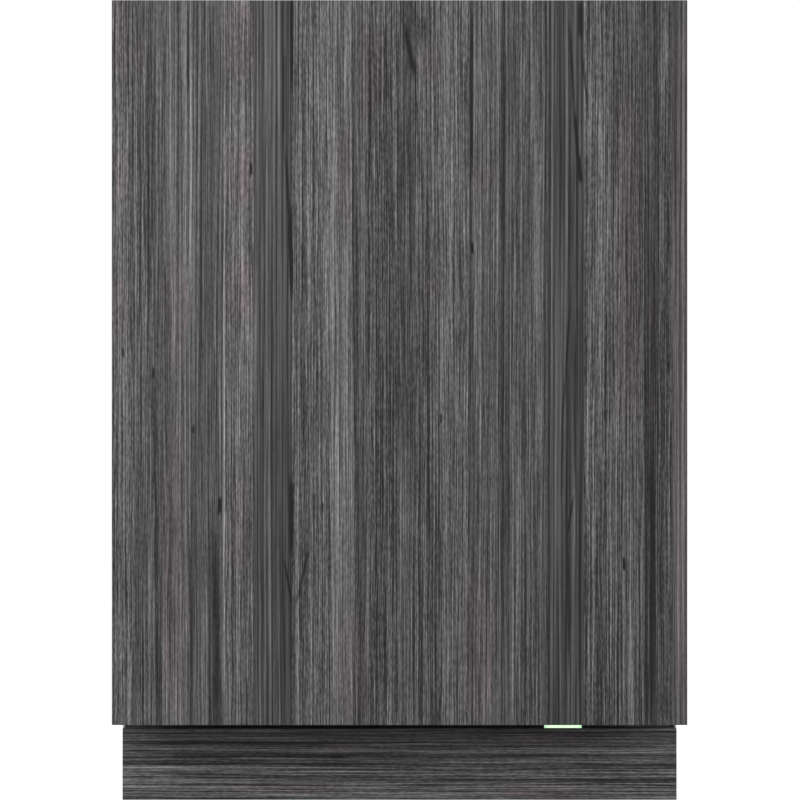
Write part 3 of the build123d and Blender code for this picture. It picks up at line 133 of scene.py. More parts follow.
floor_paint = bpy.data.materials.new("studio_floor")
floor_paint.use_nodes = True
floor_tree = floor_paint.node_tree
floor_tree.nodes.clear()
floor_ray = floor_tree.nodes.new("ShaderNodeLightPath")
mirrored = Tone(floor_tree, floor_ray.outputs["Is Glossy Ray"])
seen = Tone(floor_tree, floor_ray.outputs["Is Camera Ray"]) + mirrored * 0.5
matt = seen.node("BsdfDiffuse", {}, {"Color": (0.8, 0.8, 0.8, 1)})
bright = seen.node("Emission", {}, {"Color": (1, 1, 1, 1), "Strength": 1.41})
even_share = 0.6
blend = seen.node("MixShader", {}, {0: seen * even_share, 1: matt, 2: bright})
floor_tree.links.new(
    blend.socket, floor_tree.nodes.new("ShaderNodeOutputMaterial").inputs["Surface"]
)

floor_shape = bmesh.new()
floor_half = 9
bmesh.ops.create_grid(floor_shape, x_segments=2, y_segments=2, size=floor_half)
floor_mesh = bpy.data.meshes.new("studio_floor")
floor_shape.to_mesh(floor_mesh)
floor_shape.free()
floor_mesh.materials.append(floor_paint)
floor = bpy.data.objects.new("studio_floor", floor_mesh)
bpy.context.collection.objects.link(floor)

sky = bpy.data.worlds.new("studio_sky")
bpy.context.scene.world = sky
sky.use_nodes = True
sky_tree = sky.node_tree
sky_tree.nodes.clear()
sky_ray = sky_tree.nodes.new("ShaderNodeLightPath")
plain = Tone(sky_tree, sky_ray.outputs["Is Camera Ray"])
white_share = plain + Tone(sky_tree, sky_ray.outputs["Is Transmission Ray"])
sky_light = plain.node("Background", {}, {"Color": (1, 1, 1, 1), "Strength": 0.5})
sky_white = plain.node("Background", {}, {"Color": (1, 1, 1, 1), "Strength": 1.0})
sky_blend = plain.node("MixShader", {}, {0: white_share, 1: sky_light, 2: sky_white})
sky_tree.links.new(
    sky_blend.socket, sky_tree.nodes.new("ShaderNodeOutputWorld").inputs["Surface"]
)

lamp_aim = Vector((0, 0, 0.45))
for lamp_name, place, size, watts in (
    ("front_left_softbox", (-1.9, -3.6, 2.5), 2.4, 78),
    ("front_right_softbox", (2.6, -2.9, 1.7), 2.0, 36),
    ("rear_left_softbox", (-2.6, 2.9, 2.2), 2.2, 30),
    ("rear_right_softbox", (2.7, 2.7, 2.4), 2.2, 24),
):
    softbox = bpy.data.lights.new(lamp_name, "AREA")
    softbox.shape = "SQUARE"
    softbox.size = size
    softbox.energy = watts
    lamp = bpy.data.objects.new(lamp_name, softbox)
    lamp.location = place
    lamp.rotation_euler = (lamp_aim - Vector(place)).to_track_quat("-Z", "Y").to_euler()
    bpy.context.collection.objects.link(lamp)

# Furniture front: 19 mm chipboard with a dark grey wood decor on its faces and edge bands.
# The printed decor runs upright: fine fibres, long growth lines, plain darker bands,
# a few brownish stains and small knots. It is screwed to the door steel from behind.
nodes = frame["nodes"]


def new_finish(name, **constants):
    """A new material, its shader set to the constants, and its position socket."""
    material = bpy.data.materials.new(name)
    material.use_nodes = True
    shader = material.node_tree.nodes["Principled BSDF"]
    for socket, value in constants.items():
        shader.inputs[socket.replace("_", " ")].default_value = value
    spot = Tone(material.node_tree, material.node_tree.nodes.new("ShaderNodeTexCoord").outputs["Object"])
    return material, shader, spot


def feed(shader, socket, tone):
    """Links a tone to a socket of the shader."""
    tone.tree.links.new(tone.socket, shader.inputs[socket])


def cloud(spot, scale, detail=2.0, roughness=0.5, offset=(0, 0, 0)):
    """Noise from 0 to 1, stretched by the scale on each axis, in waves a metre."""
    stretched = spot.node("Mapping", {}, {"Vector": spot, "Scale": scale, "Location": offset})
    return spot.node(
        "TexNoise", {}, {"Vector": stretched, "Scale": 1.0, "Detail": detail, "Roughness": roughness}
    )


def between(tone, low, high, out_low=0.0, out_high=1.0):
    """A soft step from out_low to out_high as the tone goes from low to high."""
    return tone.node(
        "MapRange",
        {"interpolation_type": "SMOOTHSTEP"},
        {"Value": tone, "From Min": low, "From Max": high, "To Min": out_low, "To Max": out_high},
    )


def mixed(share, first, second):
    """A colour that goes from the first to the second with the share."""
    return share.node("Mix", {"data_type": "RGBA"}, {0: share, 6: first, 7: second}, out=2)


def bumped(shader, height, strength, distance):
    """Relief from a height tone; the distance is how high a height of 1 stands, in metres."""
    relief = height.node("Bump", {}, {"Height": height, "Strength": strength, "Distance": distance})
    feed(shader, "Normal", relief)


def place_piece(shape, name, material, body):
    """Makes an object of a bmesh, gives it its finish and lets it ride on a body."""
    mesh = bpy.data.meshes.new(name)
    shape.to_mesh(mesh)
    shape.free()
    mesh.materials.append(material)
    piece = bpy.data.objects.new(name, mesh)
    bpy.context.collection.objects.link(piece)
    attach(piece, body)
    return piece


def place_for(shape, name, material, node):
    """Makes the piece that is seen in place of a CAD node."""
    piece = place_piece(shape, name, material, nodes[node]["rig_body"])
    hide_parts(node)


def decor_board(node, name, material, grain_upright):
    """A board with softened arrises; its UV map runs across and along the grain."""
    low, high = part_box(node)
    centre = (low + high) / 2
    shape = bmesh.new()
    bmesh.ops.create_cube(shape, size=1.0)
    bmesh.ops.scale(shape, vec=high - low, verts=shape.verts)
    bmesh.ops.translate(shape, vec=centre, verts=shape.verts)
    arris = 0.0008
    bmesh.ops.bevel(
        shape, geom=shape.edges[:], offset=arris, segments=3, profile=0.5, affect="EDGES", material=-1
    )
    grain = shape.loops.layers.uv.new("grain")
    for face in shape.faces:
        faces_side = abs(face.normal.x) > 0.8
        faces_end = abs(face.normal.z) > 0.8
        for corner in face.loops:
            x, y, z = corner.vert.co
            depth = y - low.y
            if faces_side:
                x += copysign(depth, x)
            if faces_end:
                z += copysign(depth, z - centre.z)
            upright = grain_upright and not faces_end
            corner[grain].uv = (x, z) if upright else (z, x)
    place_for(shape, name, material, node)


def wood_decor(name, seed, width, strips, marks, stains, level, contrast=1.0):
    """The printed decor, in shades from 0, black, to 1, white.

    A strip is where it starts in millimetres, its shade, how busy its fibres are and how
    strongly it is grooved. A mark or stain is its place across and along, half its width
    and half its length in millimetres, its lean in millimetres a metre and its strength.
    A mark with a negative strength is a light line.
    """
    material, shader, spot = new_finish(name, Roughness=0.5, Specular_IOR_Level=0.32)
    grain = spot.node("UVMap", {"uv_map": "grain"}, {})
    across, along, _ = grain.parts()
    sway = cloud(grain, (4, 1.3, 1), 0.0, 0.5, (seed, seed, 0))
    ripple = cloud(grain, (34, 3.5, 1), 1.0, 0.5, (seed + 3, 0, 0))
    bent = across + (sway - 0.5) * 0.005 + (ripple - 0.5) * 0.0009
    lines = spot.node("CombineXYZ", {}, {"X": bent, "Y": along, "Z": seed})
    wander = across + (ripple - 0.5) * 0.002

    def patch(places, edge):
        """How strongly the listed places reach each point, the edge being added to their width."""
        total = None
        for place, height, half, reach, lean, strength in places:
            above = along - height / 1000
            centre = above * (lean / 1000) + place / 1000
            side = between(abs(wander - centre), (half + edge) / 1000, half * 0.35 / 1000)
            end = between(abs(above), reach * 1.25 / 1000, reach * 0.45 / 1000)
            share = side * end * strength
            total = share if total is None else total + share
        return total

    stops = tuple(((start / 1000 + width / 2) / width, (*values, 1)) for start, *values in strips)
    share_across = (wander + width / 2) * (1 / width)
    veneer = spot.node("ValToRGB", {"steps": "CONSTANT", "stops": stops}, {"Fac": share_across})
    strip, busy, grooved = veneer.parts()

    # Fibres from the shortest to the longest, then broad shade, fine lines and grooves.
    dash = cloud(lines, (700, 170, 1), 0.0, 0.5, (5, 2, 0)) - 0.5
    fibre = cloud(lines, (660, 42, 1), 0.0, 0.5) - 0.5
    vessel = cloud(lines, (620, 11, 1), 0.0, 0.5, (2, 9, 0)) - 0.5
    thread = cloud(lines, (560, 2.4, 1), 0.0, 0.5, (8, 6, 0)) - 0.5
    broad = cloud(lines, (62, 1.3, 1), 2.0, 0.8, (9, 0, 0)) - 0.5
    drift = cloud(grain, (60, 2.2, 1), 1.0, 0.5, (seed, 1, 0)) - 0.5
    shiver = cloud(lines, (230, 9, 1), 0.0, 0.5, (1, seed, 0)) - 0.5
    cast = cloud(grain, (15, 1.5, 1), 2.0, 0.8, (4, seed, 0)) - 0.5
    line_pitch = 0.0022
    comb = (bent * (2 * pi / line_pitch) + shiver * 14).maths("SINE")
    groove_pitch = 0.0047
    mean_sine = 0.64
    groove = abs((bent * (pi / groove_pitch) + drift * 3).maths("SINE")) - mean_sine
    drawn = (
        dash * (busy * 0.24 + 0.02)
        + fibre * (busy * 0.13 + 0.04)
        + vessel * (busy * 0.14 + 0.14)
        + comb * (busy * 0.06 + 0.02)
        + thread * 0.38
        + groove * grooved * 0.14
        + broad * 0.24
        + cast * 0.13
    ) * contrast
    shade = drawn + strip + (level - 0.5) - patch(marks, 0.8) * 1.35
    lightness = shade.maths("MAXIMUM", 0.03).maths("POWER", 2.2)
    grey = mixed(lightness, (0, 0, 0, 1), (1, 1, 1, 1))
    brownish = (1.115, 0.97, 0.99, 1)
    tinted = {"data_type": "RGBA", "blend_type": "MULTIPLY"}
    warm = shade.node("Mix", tinted, {0: 1.0, 6: grey, 7: brownish}, out=2)
    stain = patch(stains, 2.5) * 1.8
    feed(shader, "Base Color", mixed(stain.maths("MINIMUM", 1.0), grey, warm))
    feed(shader, "Roughness", 0.54 - fibre * 0.12)
    bumped(shader, fibre + thread + dash, 0.14, 0.00012)
    return material


board_low, board_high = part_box("furniture_panel")
front_decor = wood_decor(
    "grey_wood_front",
    1.7,
    board_high.x - board_low.x,
    strips=(
        (-299, 0.375, 1.0, 0.2),
        (-279, 0.335, 0.8, 0.2),
        (-262, 0.33, 0.7, 0.3),
        (-244, 0.37, 0.6, 0.5),
        (-219, 0.345, 0.5, 0.3),
        (-183, 0.375, 0.9, 0.3),
        (-152, 0.325, 0.15, 1.0),
        (-125, 0.285, 0.0, 0.2),
        (-112, 0.365, 1.0, 0.1),
        (-73, 0.38, 0.8, 0.2),
        (-49, 0.31, 0.7, 0.3),
        (-33, 0.305, 1.0, 0.3),
        (0, 0.315, 0.7, 0.1),
        (15, 0.32, 0.9, 0.2),
        (41, 0.355, 0.9, 0.4),
        (71, 0.32, 0.6, 0.2),
        (79, 0.345, 0.7, 0.4),
        (101, 0.31, 0.5, 0.3),
        (116, 0.34, 0.7, 0.2),
        (145, 0.30, 0.5, 0.4),
        (153, 0.27, 0.1, 0.9),
        (191, 0.335, 1.0, 0.1),
        (216, 0.315, 0.9, 0.3),
        (230, 0.345, 0.8, 0.4),
        (252, 0.27, 0.6, 0.4),
        (266, 0.31, 0.9, 0.2),
        (282, 0.33, 0.3, 0.6),
    ),
    marks=(
        (-111.8, 798, 1.4, 46, -3, 0.24),
        (-119.4, 740, 2.4, 50, 0, 0.08),
        (-116.6, 655, 1.8, 36, -60, 0.12),
        (-112.8, 580, 2.2, 46, -25, 0.22),
        (-112.4, 308, 2.0, 40, 0, 0.2),
        (-115.0, 236, 1.0, 24, -180, 0.12),
        (-100.5, 244, 1.1, 30, 230, 0.12),
        (-154.4, 667, 1.3, 6, 0, 0.28),
        (-219.4, 795, 0.8, 50, 0, 0.14),
        (-186.8, 318, 1.6, 9, 20, 0.24),
        (-190.0, 180, 4.6, 110, 0, 0.1),
        (-280.0, 640, 0.9, 200, 0, 0.06),
        (-286.5, 476, 1.2, 5, 0, 0.15),
        (-255.6, 455, 1.3, 6, 0, 0.16),
        (-256.0, 380, 0.9, 76, 0, 0.1),
        (-213.9, 397, 1.0, 5, 0, 0.13),
        (-79.5, 316, 1.0, 5, 0, 0.14),
        (-31.1, 735, 1.0, 86, 0, 0.17),
        (10.6, 790, 2.6, 30, -200, 0.12),
        (24.0, 812, 7.0, 16, 0, 0.06),
        (19.0, 710, 1.2, 50, -50, 0.08),
        (26.0, 490, 1.6, 52, -20, 0.1),
        (42.9, 408, 1.1, 5, 0, 0.15),
        (75.0, 748, 1.5, 92, 0, 0.2),
        (71.0, 745, 1.0, 90, 0, 0.08),
        (75.4, 585, 1.3, 6, 0, 0.24),
        (107.0, 430, 0.9, 340, 0, 0.08),
        (187.5, 822, 2.6, 20, 0, 0.15),
        (192.5, 752, 0.9, 28, -95, 0.14),
        (178.8, 770, 1.4, 48, -45, 0.11),
        (182.9, 700, 1.7, 28, -80, 0.17),
        (186.3, 667, 2.0, 14, -100, 0.26),
        (173.6, 470, 0.9, 66, 60, 0.11),
        (168.6, 370, 0.9, 50, 10, 0.1),
        (181.6, 420, 0.9, 90, 0, 0.12),
        (177.4, 308, 0.9, 20, 150, 0.13),
        (175.4, 220, 0.9, 70, 0, 0.11),
        (233.0, 257, 1.1, 7, 0, 0.28),
        (279.3, 462, 1.1, 6, 0, 0.15),
        (262.0, 235, 4.4, 150, 0, 0.07),
        (-182.0, 440, 0.8, 370, 0, -0.1),
        (-216.3, 690, 0.8, 140, 0, -0.09),
        (118.9, 600, 0.8, 230, 0, -0.09),
        (43.6, 470, 0.9, 90, 0, -0.08),
        (60.9, 420, 0.9, 220, 0, -0.07),
        (69.6, 420, 0.9, 220, 0, -0.07),
        (194.4, 385, 0.8, 74, 0, -0.1),
        (266.4, 300, 0.8, 110, 0, -0.09),
    ),
    stains=(
        (-289.5, 801, 9, 42, 0, 0.8),
        (-290.5, 660, 8, 30, 0, 0.6),
        (-291.0, 525, 8, 32, 0, 0.9),
        (-272.0, 785, 6, 25, 0, 0.6),
        (-165.5, 801, 17, 42, 0, 0.9),
        (-165.5, 661, 17, 34, 0, 0.8),
        (-165.5, 541, 17, 32, 0, 0.9),
        (-167.0, 300, 15, 60, 0, 0.45),
        (-232.5, 518, 14.5, 58, 0, 0.85),
        (-232.5, 250, 14.5, 160, 0, 0.75),
        (-56.0, 659, 8, 50, 0, 0.8),
        (-30.0, 768, 17, 58, 0, 0.5),
        (33.0, 776, 15, 16, 0, 0.6),
        (33.0, 543, 15, 13, 0, 0.6),
        (84.0, 657, 16, 14, 0, 0.6),
        (236.0, 642, 15, 122, 0, 0.6),
        (236.0, 474, 18, 68, 0, 0.8),
        (262.0, 474, 5, 68, 0, 0.9),
        (292.0, 466, 7, 400, 0, 1.0),
        (-46.0, 150, 22, 64, 0, 0.55),
        (82.0, 170, 17, 82, 0, 0.8),
    ),
    level=0.452,
    contrast=0.94,
)
decor_board("furniture_panel", "kitchen_front_board", front_decor, grain_upright=True)

# Plinth board: the same decor on a 16 mm board, its grain lying, set back into the toe space, with painted
# shade along its top.
# It stands on the floor and clips to the base from behind.
_, plinth_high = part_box("plinth_board")
plinth_decor = wood_decor(
    "grey_wood_plinth",
    6.3,
    2 * plinth_high.z,
    strips=(
        (-80, 0.31, 0.8, 0.2),
        (9, 0.315, 0.8, 0.2),
        (20, 0.3, 0.9, 0.2),
        (33, 0.27, 0.8, 0.2),
        (43, 0.3, 0.7, 0.2),
        # The two top strips, from 59 mm up, are darker with painted shade that the door above casts on the
        # board.
        (59, 0.25, 0.6, 0.2),
        (64, 0.24, 0.5, 0.2),
    ),
    marks=(
        (60.0, -160.0, 1.4, 130, 0, 0.12),
        (46.3, -68.0, 1.8, 8, 0, 0.2),
        (46.8, -160.0, 1.1, 120, 5, 0.13),
        (30.0, 60.0, 0.8, 230, 0, -0.1),
        (14.0, 0.0, 0.8, 280, 0, -0.09),
        (52.0, 120.0, 0.8, 120, 0, -0.06),
    ),
    stains=(
        (60.0, -67.0, 8, 18, 0, 0.7),
        (12.0, -120.0, 7, 60, 0, 0.8),
        (66.0, 170.0, 6, 60, 0, 0.8),
        (8.0, 150.0, 6, 50, 0, 0.7),
    ),
    level=0.52,
    contrast=1.04,
)
decor_board("plinth_board", "toe_kick_board", plinth_decor, grain_upright=False)

# Status light: a clear acrylic guide behind the panel. Its lower edge glows pale green,
# and is nearly white in the middle, where the lamp sits.
light_finish, light_shader, light_spot = new_finish(
    "light_guide",
    Base_Color=(0.75, 0.8, 0.76, 1),
    Roughness=0.18,
    Specular_IOR_Level=0.5,
    Emission_Strength=1.0,
)
light_x, _, light_z = light_spot.parts()
light_low, light_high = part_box("status_light")
light_middle = (light_low.x + light_high.x) / 2
core_z = light_low.z + 0.0016
core_across = between(abs(light_x - light_middle), 0.0190, 0.0150)
core_upright = between(abs(light_z - core_z), 0.0015, 0.0004)
lit = between(light_z, light_low.z + 0.0044, light_low.z + 0.0026)
pale_green = (0.26, 0.66, 0.25, 1)
near_white = (0.70, 0.92, 0.62, 1)
glow = mixed(core_across * core_upright, pale_green, near_white)
feed(light_shader, "Emission Color", mixed(lit, (0.0, 0.0, 0.0, 1), glow))


def merged_copy(node):
    """A bmesh of a CAD node with its loose triangles merged into whole faces."""
    weld = 0.000002
    shape = bmesh.new()
    shape.from_mesh(nodes[node].data)
    bmesh.ops.remove_doubles(shape, verts=shape.verts, dist=weld)
    bmesh.ops.dissolve_limit(shape, angle_limit=radians(0.5), verts=shape.verts, edges=shape.edges)
    bmesh.ops.recalc_face_normals(shape, faces=shape.faces)
    return shape


def softened(node, name, material, width=0.0005, segments=2):
    """A copy of a CAD node with its sharp edges rounded, in the node's place."""
    shape = merged_copy(node)
    sharp = radians(35)
    corners = [edge for edge in shape.edges if edge.is_manifold and edge.calc_face_angle(0.0) > sharp]
    bmesh.ops.bevel(
        shape, geom=corners, offset=width, segments=segments, profile=0.5, affect="EDGES",
        clamp_overlap=True, material=-1,
    )
    crease = radians(40)
    for edge in shape.edges:
        edge.smooth = edge.calc_face_angle(pi) < crease
    for face in shape.faces:
        face.smooth = True
    place_for(shape, name, material, node)


softened("status_light", "light_guide_strip", light_finish, 0.0004)

# Door shell: a pan of galvanised steel with a grey coil coat, folded at its edges.
# The furniture panel screws to it and the liner closes its back.
def dress(node, material):
    """Gives a CAD node its finish."""
    for slot in nodes[node].material_slots:
        slot.material = material


def darkened(colour, share):
    """The colour with its channels at a share of what they are."""
    return tuple(channel * share for channel in colour[:3]) + (1,)


def coated_steel(name, colour, roughness):
    """Coil-coated sheet with the fine orange peel of its paint and faint handling marks."""
    material, shader, spot = new_finish(name, Metallic=0.0, Specular_IOR_Level=0.45)
    cast = cloud(spot, (9, 9, 9), 3.0)
    peel = cloud(spot, (900, 900, 900), 1.0)
    feed(shader, "Base Color", mixed(between(cast, 0.35, 0.7), darkened(colour, 0.86), colour))
    feed(shader, "Roughness", roughness + (cast - 0.5) * 0.12)
    bumped(shader, peel, 0.12, 0.0001)
    return material


door_coat = coated_steel("door_shell_coat", (0.30, 0.31, 0.32, 1), 0.45)
dress("door_outer_panel", door_coat)


# Inner liner of the door: one drawn sheet of stainless steel with a raised field.
# The sheet is rolled upright, so its fine lines and highlights run up the door.
def brushed_steel(name, colour, roughness, grain, depth=0.10):
    """Stainless sheet; the grain vector is the waves a metre on each axis."""
    material, shader, spot = new_finish(name, Metallic=1.0)
    brush = cloud(spot, grain, 2.0, 0.6)
    cast = cloud(spot, (4, 4, 4), 2.0)
    streak = between(brush * 0.6 + cast * 0.4, 0.3, 0.7)
    feed(shader, "Base Color", mixed(streak, darkened(colour, 0.9), colour))
    feed(shader, "Roughness", roughness + (brush - 0.5) * 0.16 + (cast - 0.5) * 0.06)
    bumped(shader, brush, depth, 0.00006)
    return material


liner_steel = brushed_steel("liner_stainless", (0.50, 0.49, 0.475, 1), 0.32, (900, 900, 16), 0.05)
dress("door_inner_liner", liner_steel)

# Sound mat: heavy bitumen felt between the two door sheets, black and slightly pebbled.
# It is cut out round the dispenser, and its weight stops the steel from ringing.
mat_finish, mat_shader, mat_spot = new_finish("bitumen_mat", Roughness=0.85, Specular_IOR_Level=0.3)
mat_grain = cloud(mat_spot, (420, 420, 420), 3.0, 0.6)
feed(mat_shader, "Base Color", mixed(mat_grain, (0.012, 0.012, 0.012, 1), (0.045, 0.043, 0.04, 1)))
bumped(mat_shader, mat_grain, 0.5, 0.0006)
dress("door_insulation", mat_finish)


# Control fascia: a moulded black housing on the door's upper edge, hidden while the door is shut.
# Fine-grained ABS, with moulded arrises; the display window is a smoked acrylic strip.
def moulded(name, colour, roughness, grain=1300, depth=0.10):
    """Moulded plastic with its tool grain and a slight unevenness of gloss."""
    material, shader, spot = new_finish(name)
    cast = cloud(spot, (30, 30, 30), 2.0)
    tool = cloud(spot, (grain, grain, grain), 2.0, 0.6)
    feed(shader, "Base Color", mixed(between(cast, 0.3, 0.7), darkened(colour, 0.88), colour))
    feed(shader, "Roughness", roughness + (cast - 0.5) * 0.10 + (tool - 0.5) * 0.08)
    bumped(shader, tool, depth, 0.00012)
    return material


fascia_plastic = moulded("fascia_black_abs", (0.022, 0.023, 0.025, 1), 0.36)
softened("control_fascia", "fascia_housing", fascia_plastic, 0.0006)
window_finish, window_shader, window_spot = new_finish(
    "smoked_window", Roughness=0.06, Specular_IOR_Level=0.6, Coat_Roughness=0.03
)
window_depth = cloud(window_spot, (160, 160, 160), 2.0)
feed(window_shader, "Base Color", mixed(window_depth, (0.006, 0.007, 0.009, 1), (0.014, 0.015, 0.018, 1)))
feed(window_shader, "Coat Weight", 0.8 + window_depth * 0.2)
dress("display_window", window_finish)

# Circuit board under the keys: glass-fibre board with green solder resist, its copper
# tracks showing through. It carries a switch for each key, the display and a relay.
circuit_finish, circuit_shader, circuit_spot = new_finish("circuit_board", Roughness=0.35)
track = circuit_spot.node("TexVoronoi", {"distance": "MANHATTAN"}, {"Vector": circuit_spot, "Scale": 260.0})
track_edge = between(track, 0.28, 0.42)
feed(circuit_shader, "Base Color", mixed(track_edge, (0.01, 0.075, 0.025, 1), (0.03, 0.16, 0.05, 1)))
feed(circuit_shader, "Roughness", 0.3 + track * 0.2)
dress("control_board", circuit_finish)

# Keys: three metal-look caps that dip one millimetre into the fascia. Each carries a dark
# printed sign: a ring with a bar to switch on, three dots to choose, a triangle to start.
def length(first, second):
    """The distance made by two tones at right angles."""
    return (first * first + second * second).maths("SQRT")


def ring_sign(x, y):
    """A ring open at its top, with a bar in the opening, in millimetres."""
    gap = between(abs(x), 1.1, 0.8) * between(y, 0.0, 0.4)
    ring = between(abs(length(x, y) - 2.5), 0.5, 0.25) * (1.0 - gap)
    return ring + between(abs(x), 0.5, 0.25) * between(abs(y - 2.1), 1.6, 1.3)


def dots_sign(x, y):
    """Three dots in a row."""
    return sum(between(length(x - place, y), 0.85, 0.55) for place in (-2.8, 0.0, 2.8))


def triangle_sign(x, y):
    """A triangle that points to the right."""
    return between((-2.0 - x).maths("MAXIMUM", abs(y) + x * 0.6 - 1.5), 0.2, -0.1)


for key, cap_name, sign in (
    ("on_off_key", "power_key_cap", ring_sign),
    ("programme_key", "programme_key_cap", dots_sign),
    ("start_key", "start_key_cap", triangle_sign),
):
    cap_metal = brushed_steel(cap_name + "_metal", (0.52, 0.53, 0.54, 1), 0.3, (60, 1800, 900))
    cap_tree = cap_metal.node_tree
    cap_shader = cap_tree.nodes["Principled BSDF"]
    plain_metal = Tone(cap_tree, cap_shader.inputs["Base Color"].links[0].from_socket)
    cap_x, cap_y, _ = plain_metal.node("TexCoord", {}, {}, out="Object").parts()
    key_low, key_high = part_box(key)
    key_middle = (key_low + key_high) / 2
    sign_x = (cap_x - key_middle.x) * 1000
    sign_y = (cap_y - key_middle.y) * 1000
    ink = (0.02, 0.02, 0.022, 1)
    feed(cap_shader, "Base Color", mixed(sign(sign_x, sign_y), plain_metal, ink))
    softened(key, cap_name, cap_metal, 0.0004)

# Door latch: a black moulded case of glass-filled nylon behind the slot in the fascia,
# which holds the striker on the front frame.
nylon_black = moulded("nylon_black", (0.018, 0.018, 0.019, 1), 0.5, 700, 0.16)
softened("door_latch", "latch_case", nylon_black, 0.0005)

# Lower door seal: an extruded lip along the foot of the liner, of black rubber with the
# faint grey bloom that it gets with age.
rubber, rubber_shader, rubber_spot = new_finish("seal_rubber", Specular_IOR_Level=0.35, Sheen_Weight=0.15)
bloom = cloud(rubber_spot, (60, 60, 60), 3.0)
feed(rubber_shader, "Base Color", mixed(bloom, (0.018, 0.018, 0.019, 1), (0.045, 0.045, 0.046, 1)))
feed(rubber_shader, "Roughness", 0.55 + bloom * 0.2)
bumped(rubber_shader, cloud(rubber_spot, (12, 1200, 1200), 1.0), 0.1, 0.0001)
dress("lower_door_seal", rubber)


# Hinges: pressed galvanised arms on the door's sides turn on pins in the base brackets.
# Hot-dip zinc shows its crystals as soft-edged cells of different greys.
def galvanised(name, colour, cell, roughness=0.40):
    """Zinc coat with its crystals, cell being crystals a metre."""
    material, shader, spot = new_finish(name, Metallic=1.0)
    crystal = spot.node("TexVoronoi", {}, {"Vector": spot, "Scale": cell}, out="Color")
    flake = crystal.parts()[0]
    cast = cloud(spot, (7, 7, 7), 3.0)
    smear = cloud(spot, (26, 26, 3), 2.0)
    spangle = flake * 0.3 + cast * 0.4 + smear * 0.3
    feed(shader, "Base Color", mixed(spangle, darkened(colour, 0.78), colour))
    feed(shader, "Roughness", roughness + flake * 0.08 + cast * 0.08)
    bumped(shader, cloud(spot, (500, 500, 500), 2.0), 1.0, 0.000012)
    return material


zinc = galvanised("hot_dip_zinc", (0.47, 0.48, 0.49, 1), 210)
softened("hinge_arms", "hinge_arm_pair", zinc, 0.0004)
softened("hinge_brackets", "hinge_bracket_pair", zinc, 0.0004)

# Balancing springs: coils of drawn and oiled spring wire beside the base, with end plugs.
# Pull cords join them to the hinge levers, so that the door stays where it is left.
spring_steel, spring_shader, spring_spot = new_finish("spring_wire_steel", Metallic=1.0)
oil = cloud(spring_spot, (300, 300, 300), 2.0)
feed(spring_shader, "Base Color", mixed(oil, (0.26, 0.26, 0.27, 1), (0.42, 0.42, 0.43, 1)))
feed(spring_shader, "Roughness", 0.28 + oil * 0.18)
dress("door_springs", spring_steel)

# Detergent dispenser: a grey polypropylene body with a sliding cover over its chamber
# and a quarter-turn rinse-aid cap, both a little darker.
dispenser_grey = moulded("dispenser_grey", (0.20, 0.205, 0.21, 1), 0.34)
cover_grey = moulded("cover_grey", (0.11, 0.115, 0.12, 1), 0.3)
softened("dispenser_body", "dispenser_case", dispenser_grey, 0.0005)
softened("dispenser_cover", "chamber_cover", cover_grey, 0.0005)
softened("rinse_aid_cap", "rinse_cap", cover_grey, 0.0006)

# Base tray: one black polypropylene moulding that carries the hinges, pumps and feet. A
# cover plate clips to its front, with a rubber lip at each end that closes the toe space.
base_black = moulded("base_black_pp", (0.03, 0.031, 0.033, 1), 0.5, 500, 0.18)
softened("base_tray", "base_moulding", base_black, 0.0006)
softened("base_front_cover", "toe_cover_plate", base_black, 0.0004)
cover_low, cover_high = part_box("base_front_cover")
lip_size = (0.0036, 0.0026, 0.05)
lip_shape = bmesh.new()
for side in (-1, 1):
    lip = bmesh.ops.create_cube(lip_shape, size=1.0)["verts"]
    bmesh.ops.scale(lip_shape, vec=lip_size, verts=lip)
    middle = (side * (plinth_high.x - lip_size[0] / 2), (cover_low.y + cover_high.y) / 2, plinth_high.z)
    bmesh.ops.translate(lip_shape, vec=middle, verts=lip)
bmesh.ops.bevel(
    lip_shape, geom=lip_shape.edges[:], offset=0.0004, segments=2, profile=0.5, affect="EDGES", material=-1
)
place_piece(lip_shape, "toe_cover_lips", rubber, nodes["base_front_cover"]["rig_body"])
softened("plinth_brackets", "plinth_clip_pair", zinc, 0.0003)
foot_grey = moulded("foot_grey_nylon", (0.10, 0.10, 0.105, 1), 0.45)
softened("front_foot_left", "left_foot", foot_grey, 0.0008)
softened("front_foot_right", "right_foot", foot_grey, 0.0008)
softened("rear_foot", "back_foot", foot_grey, 0.0008)

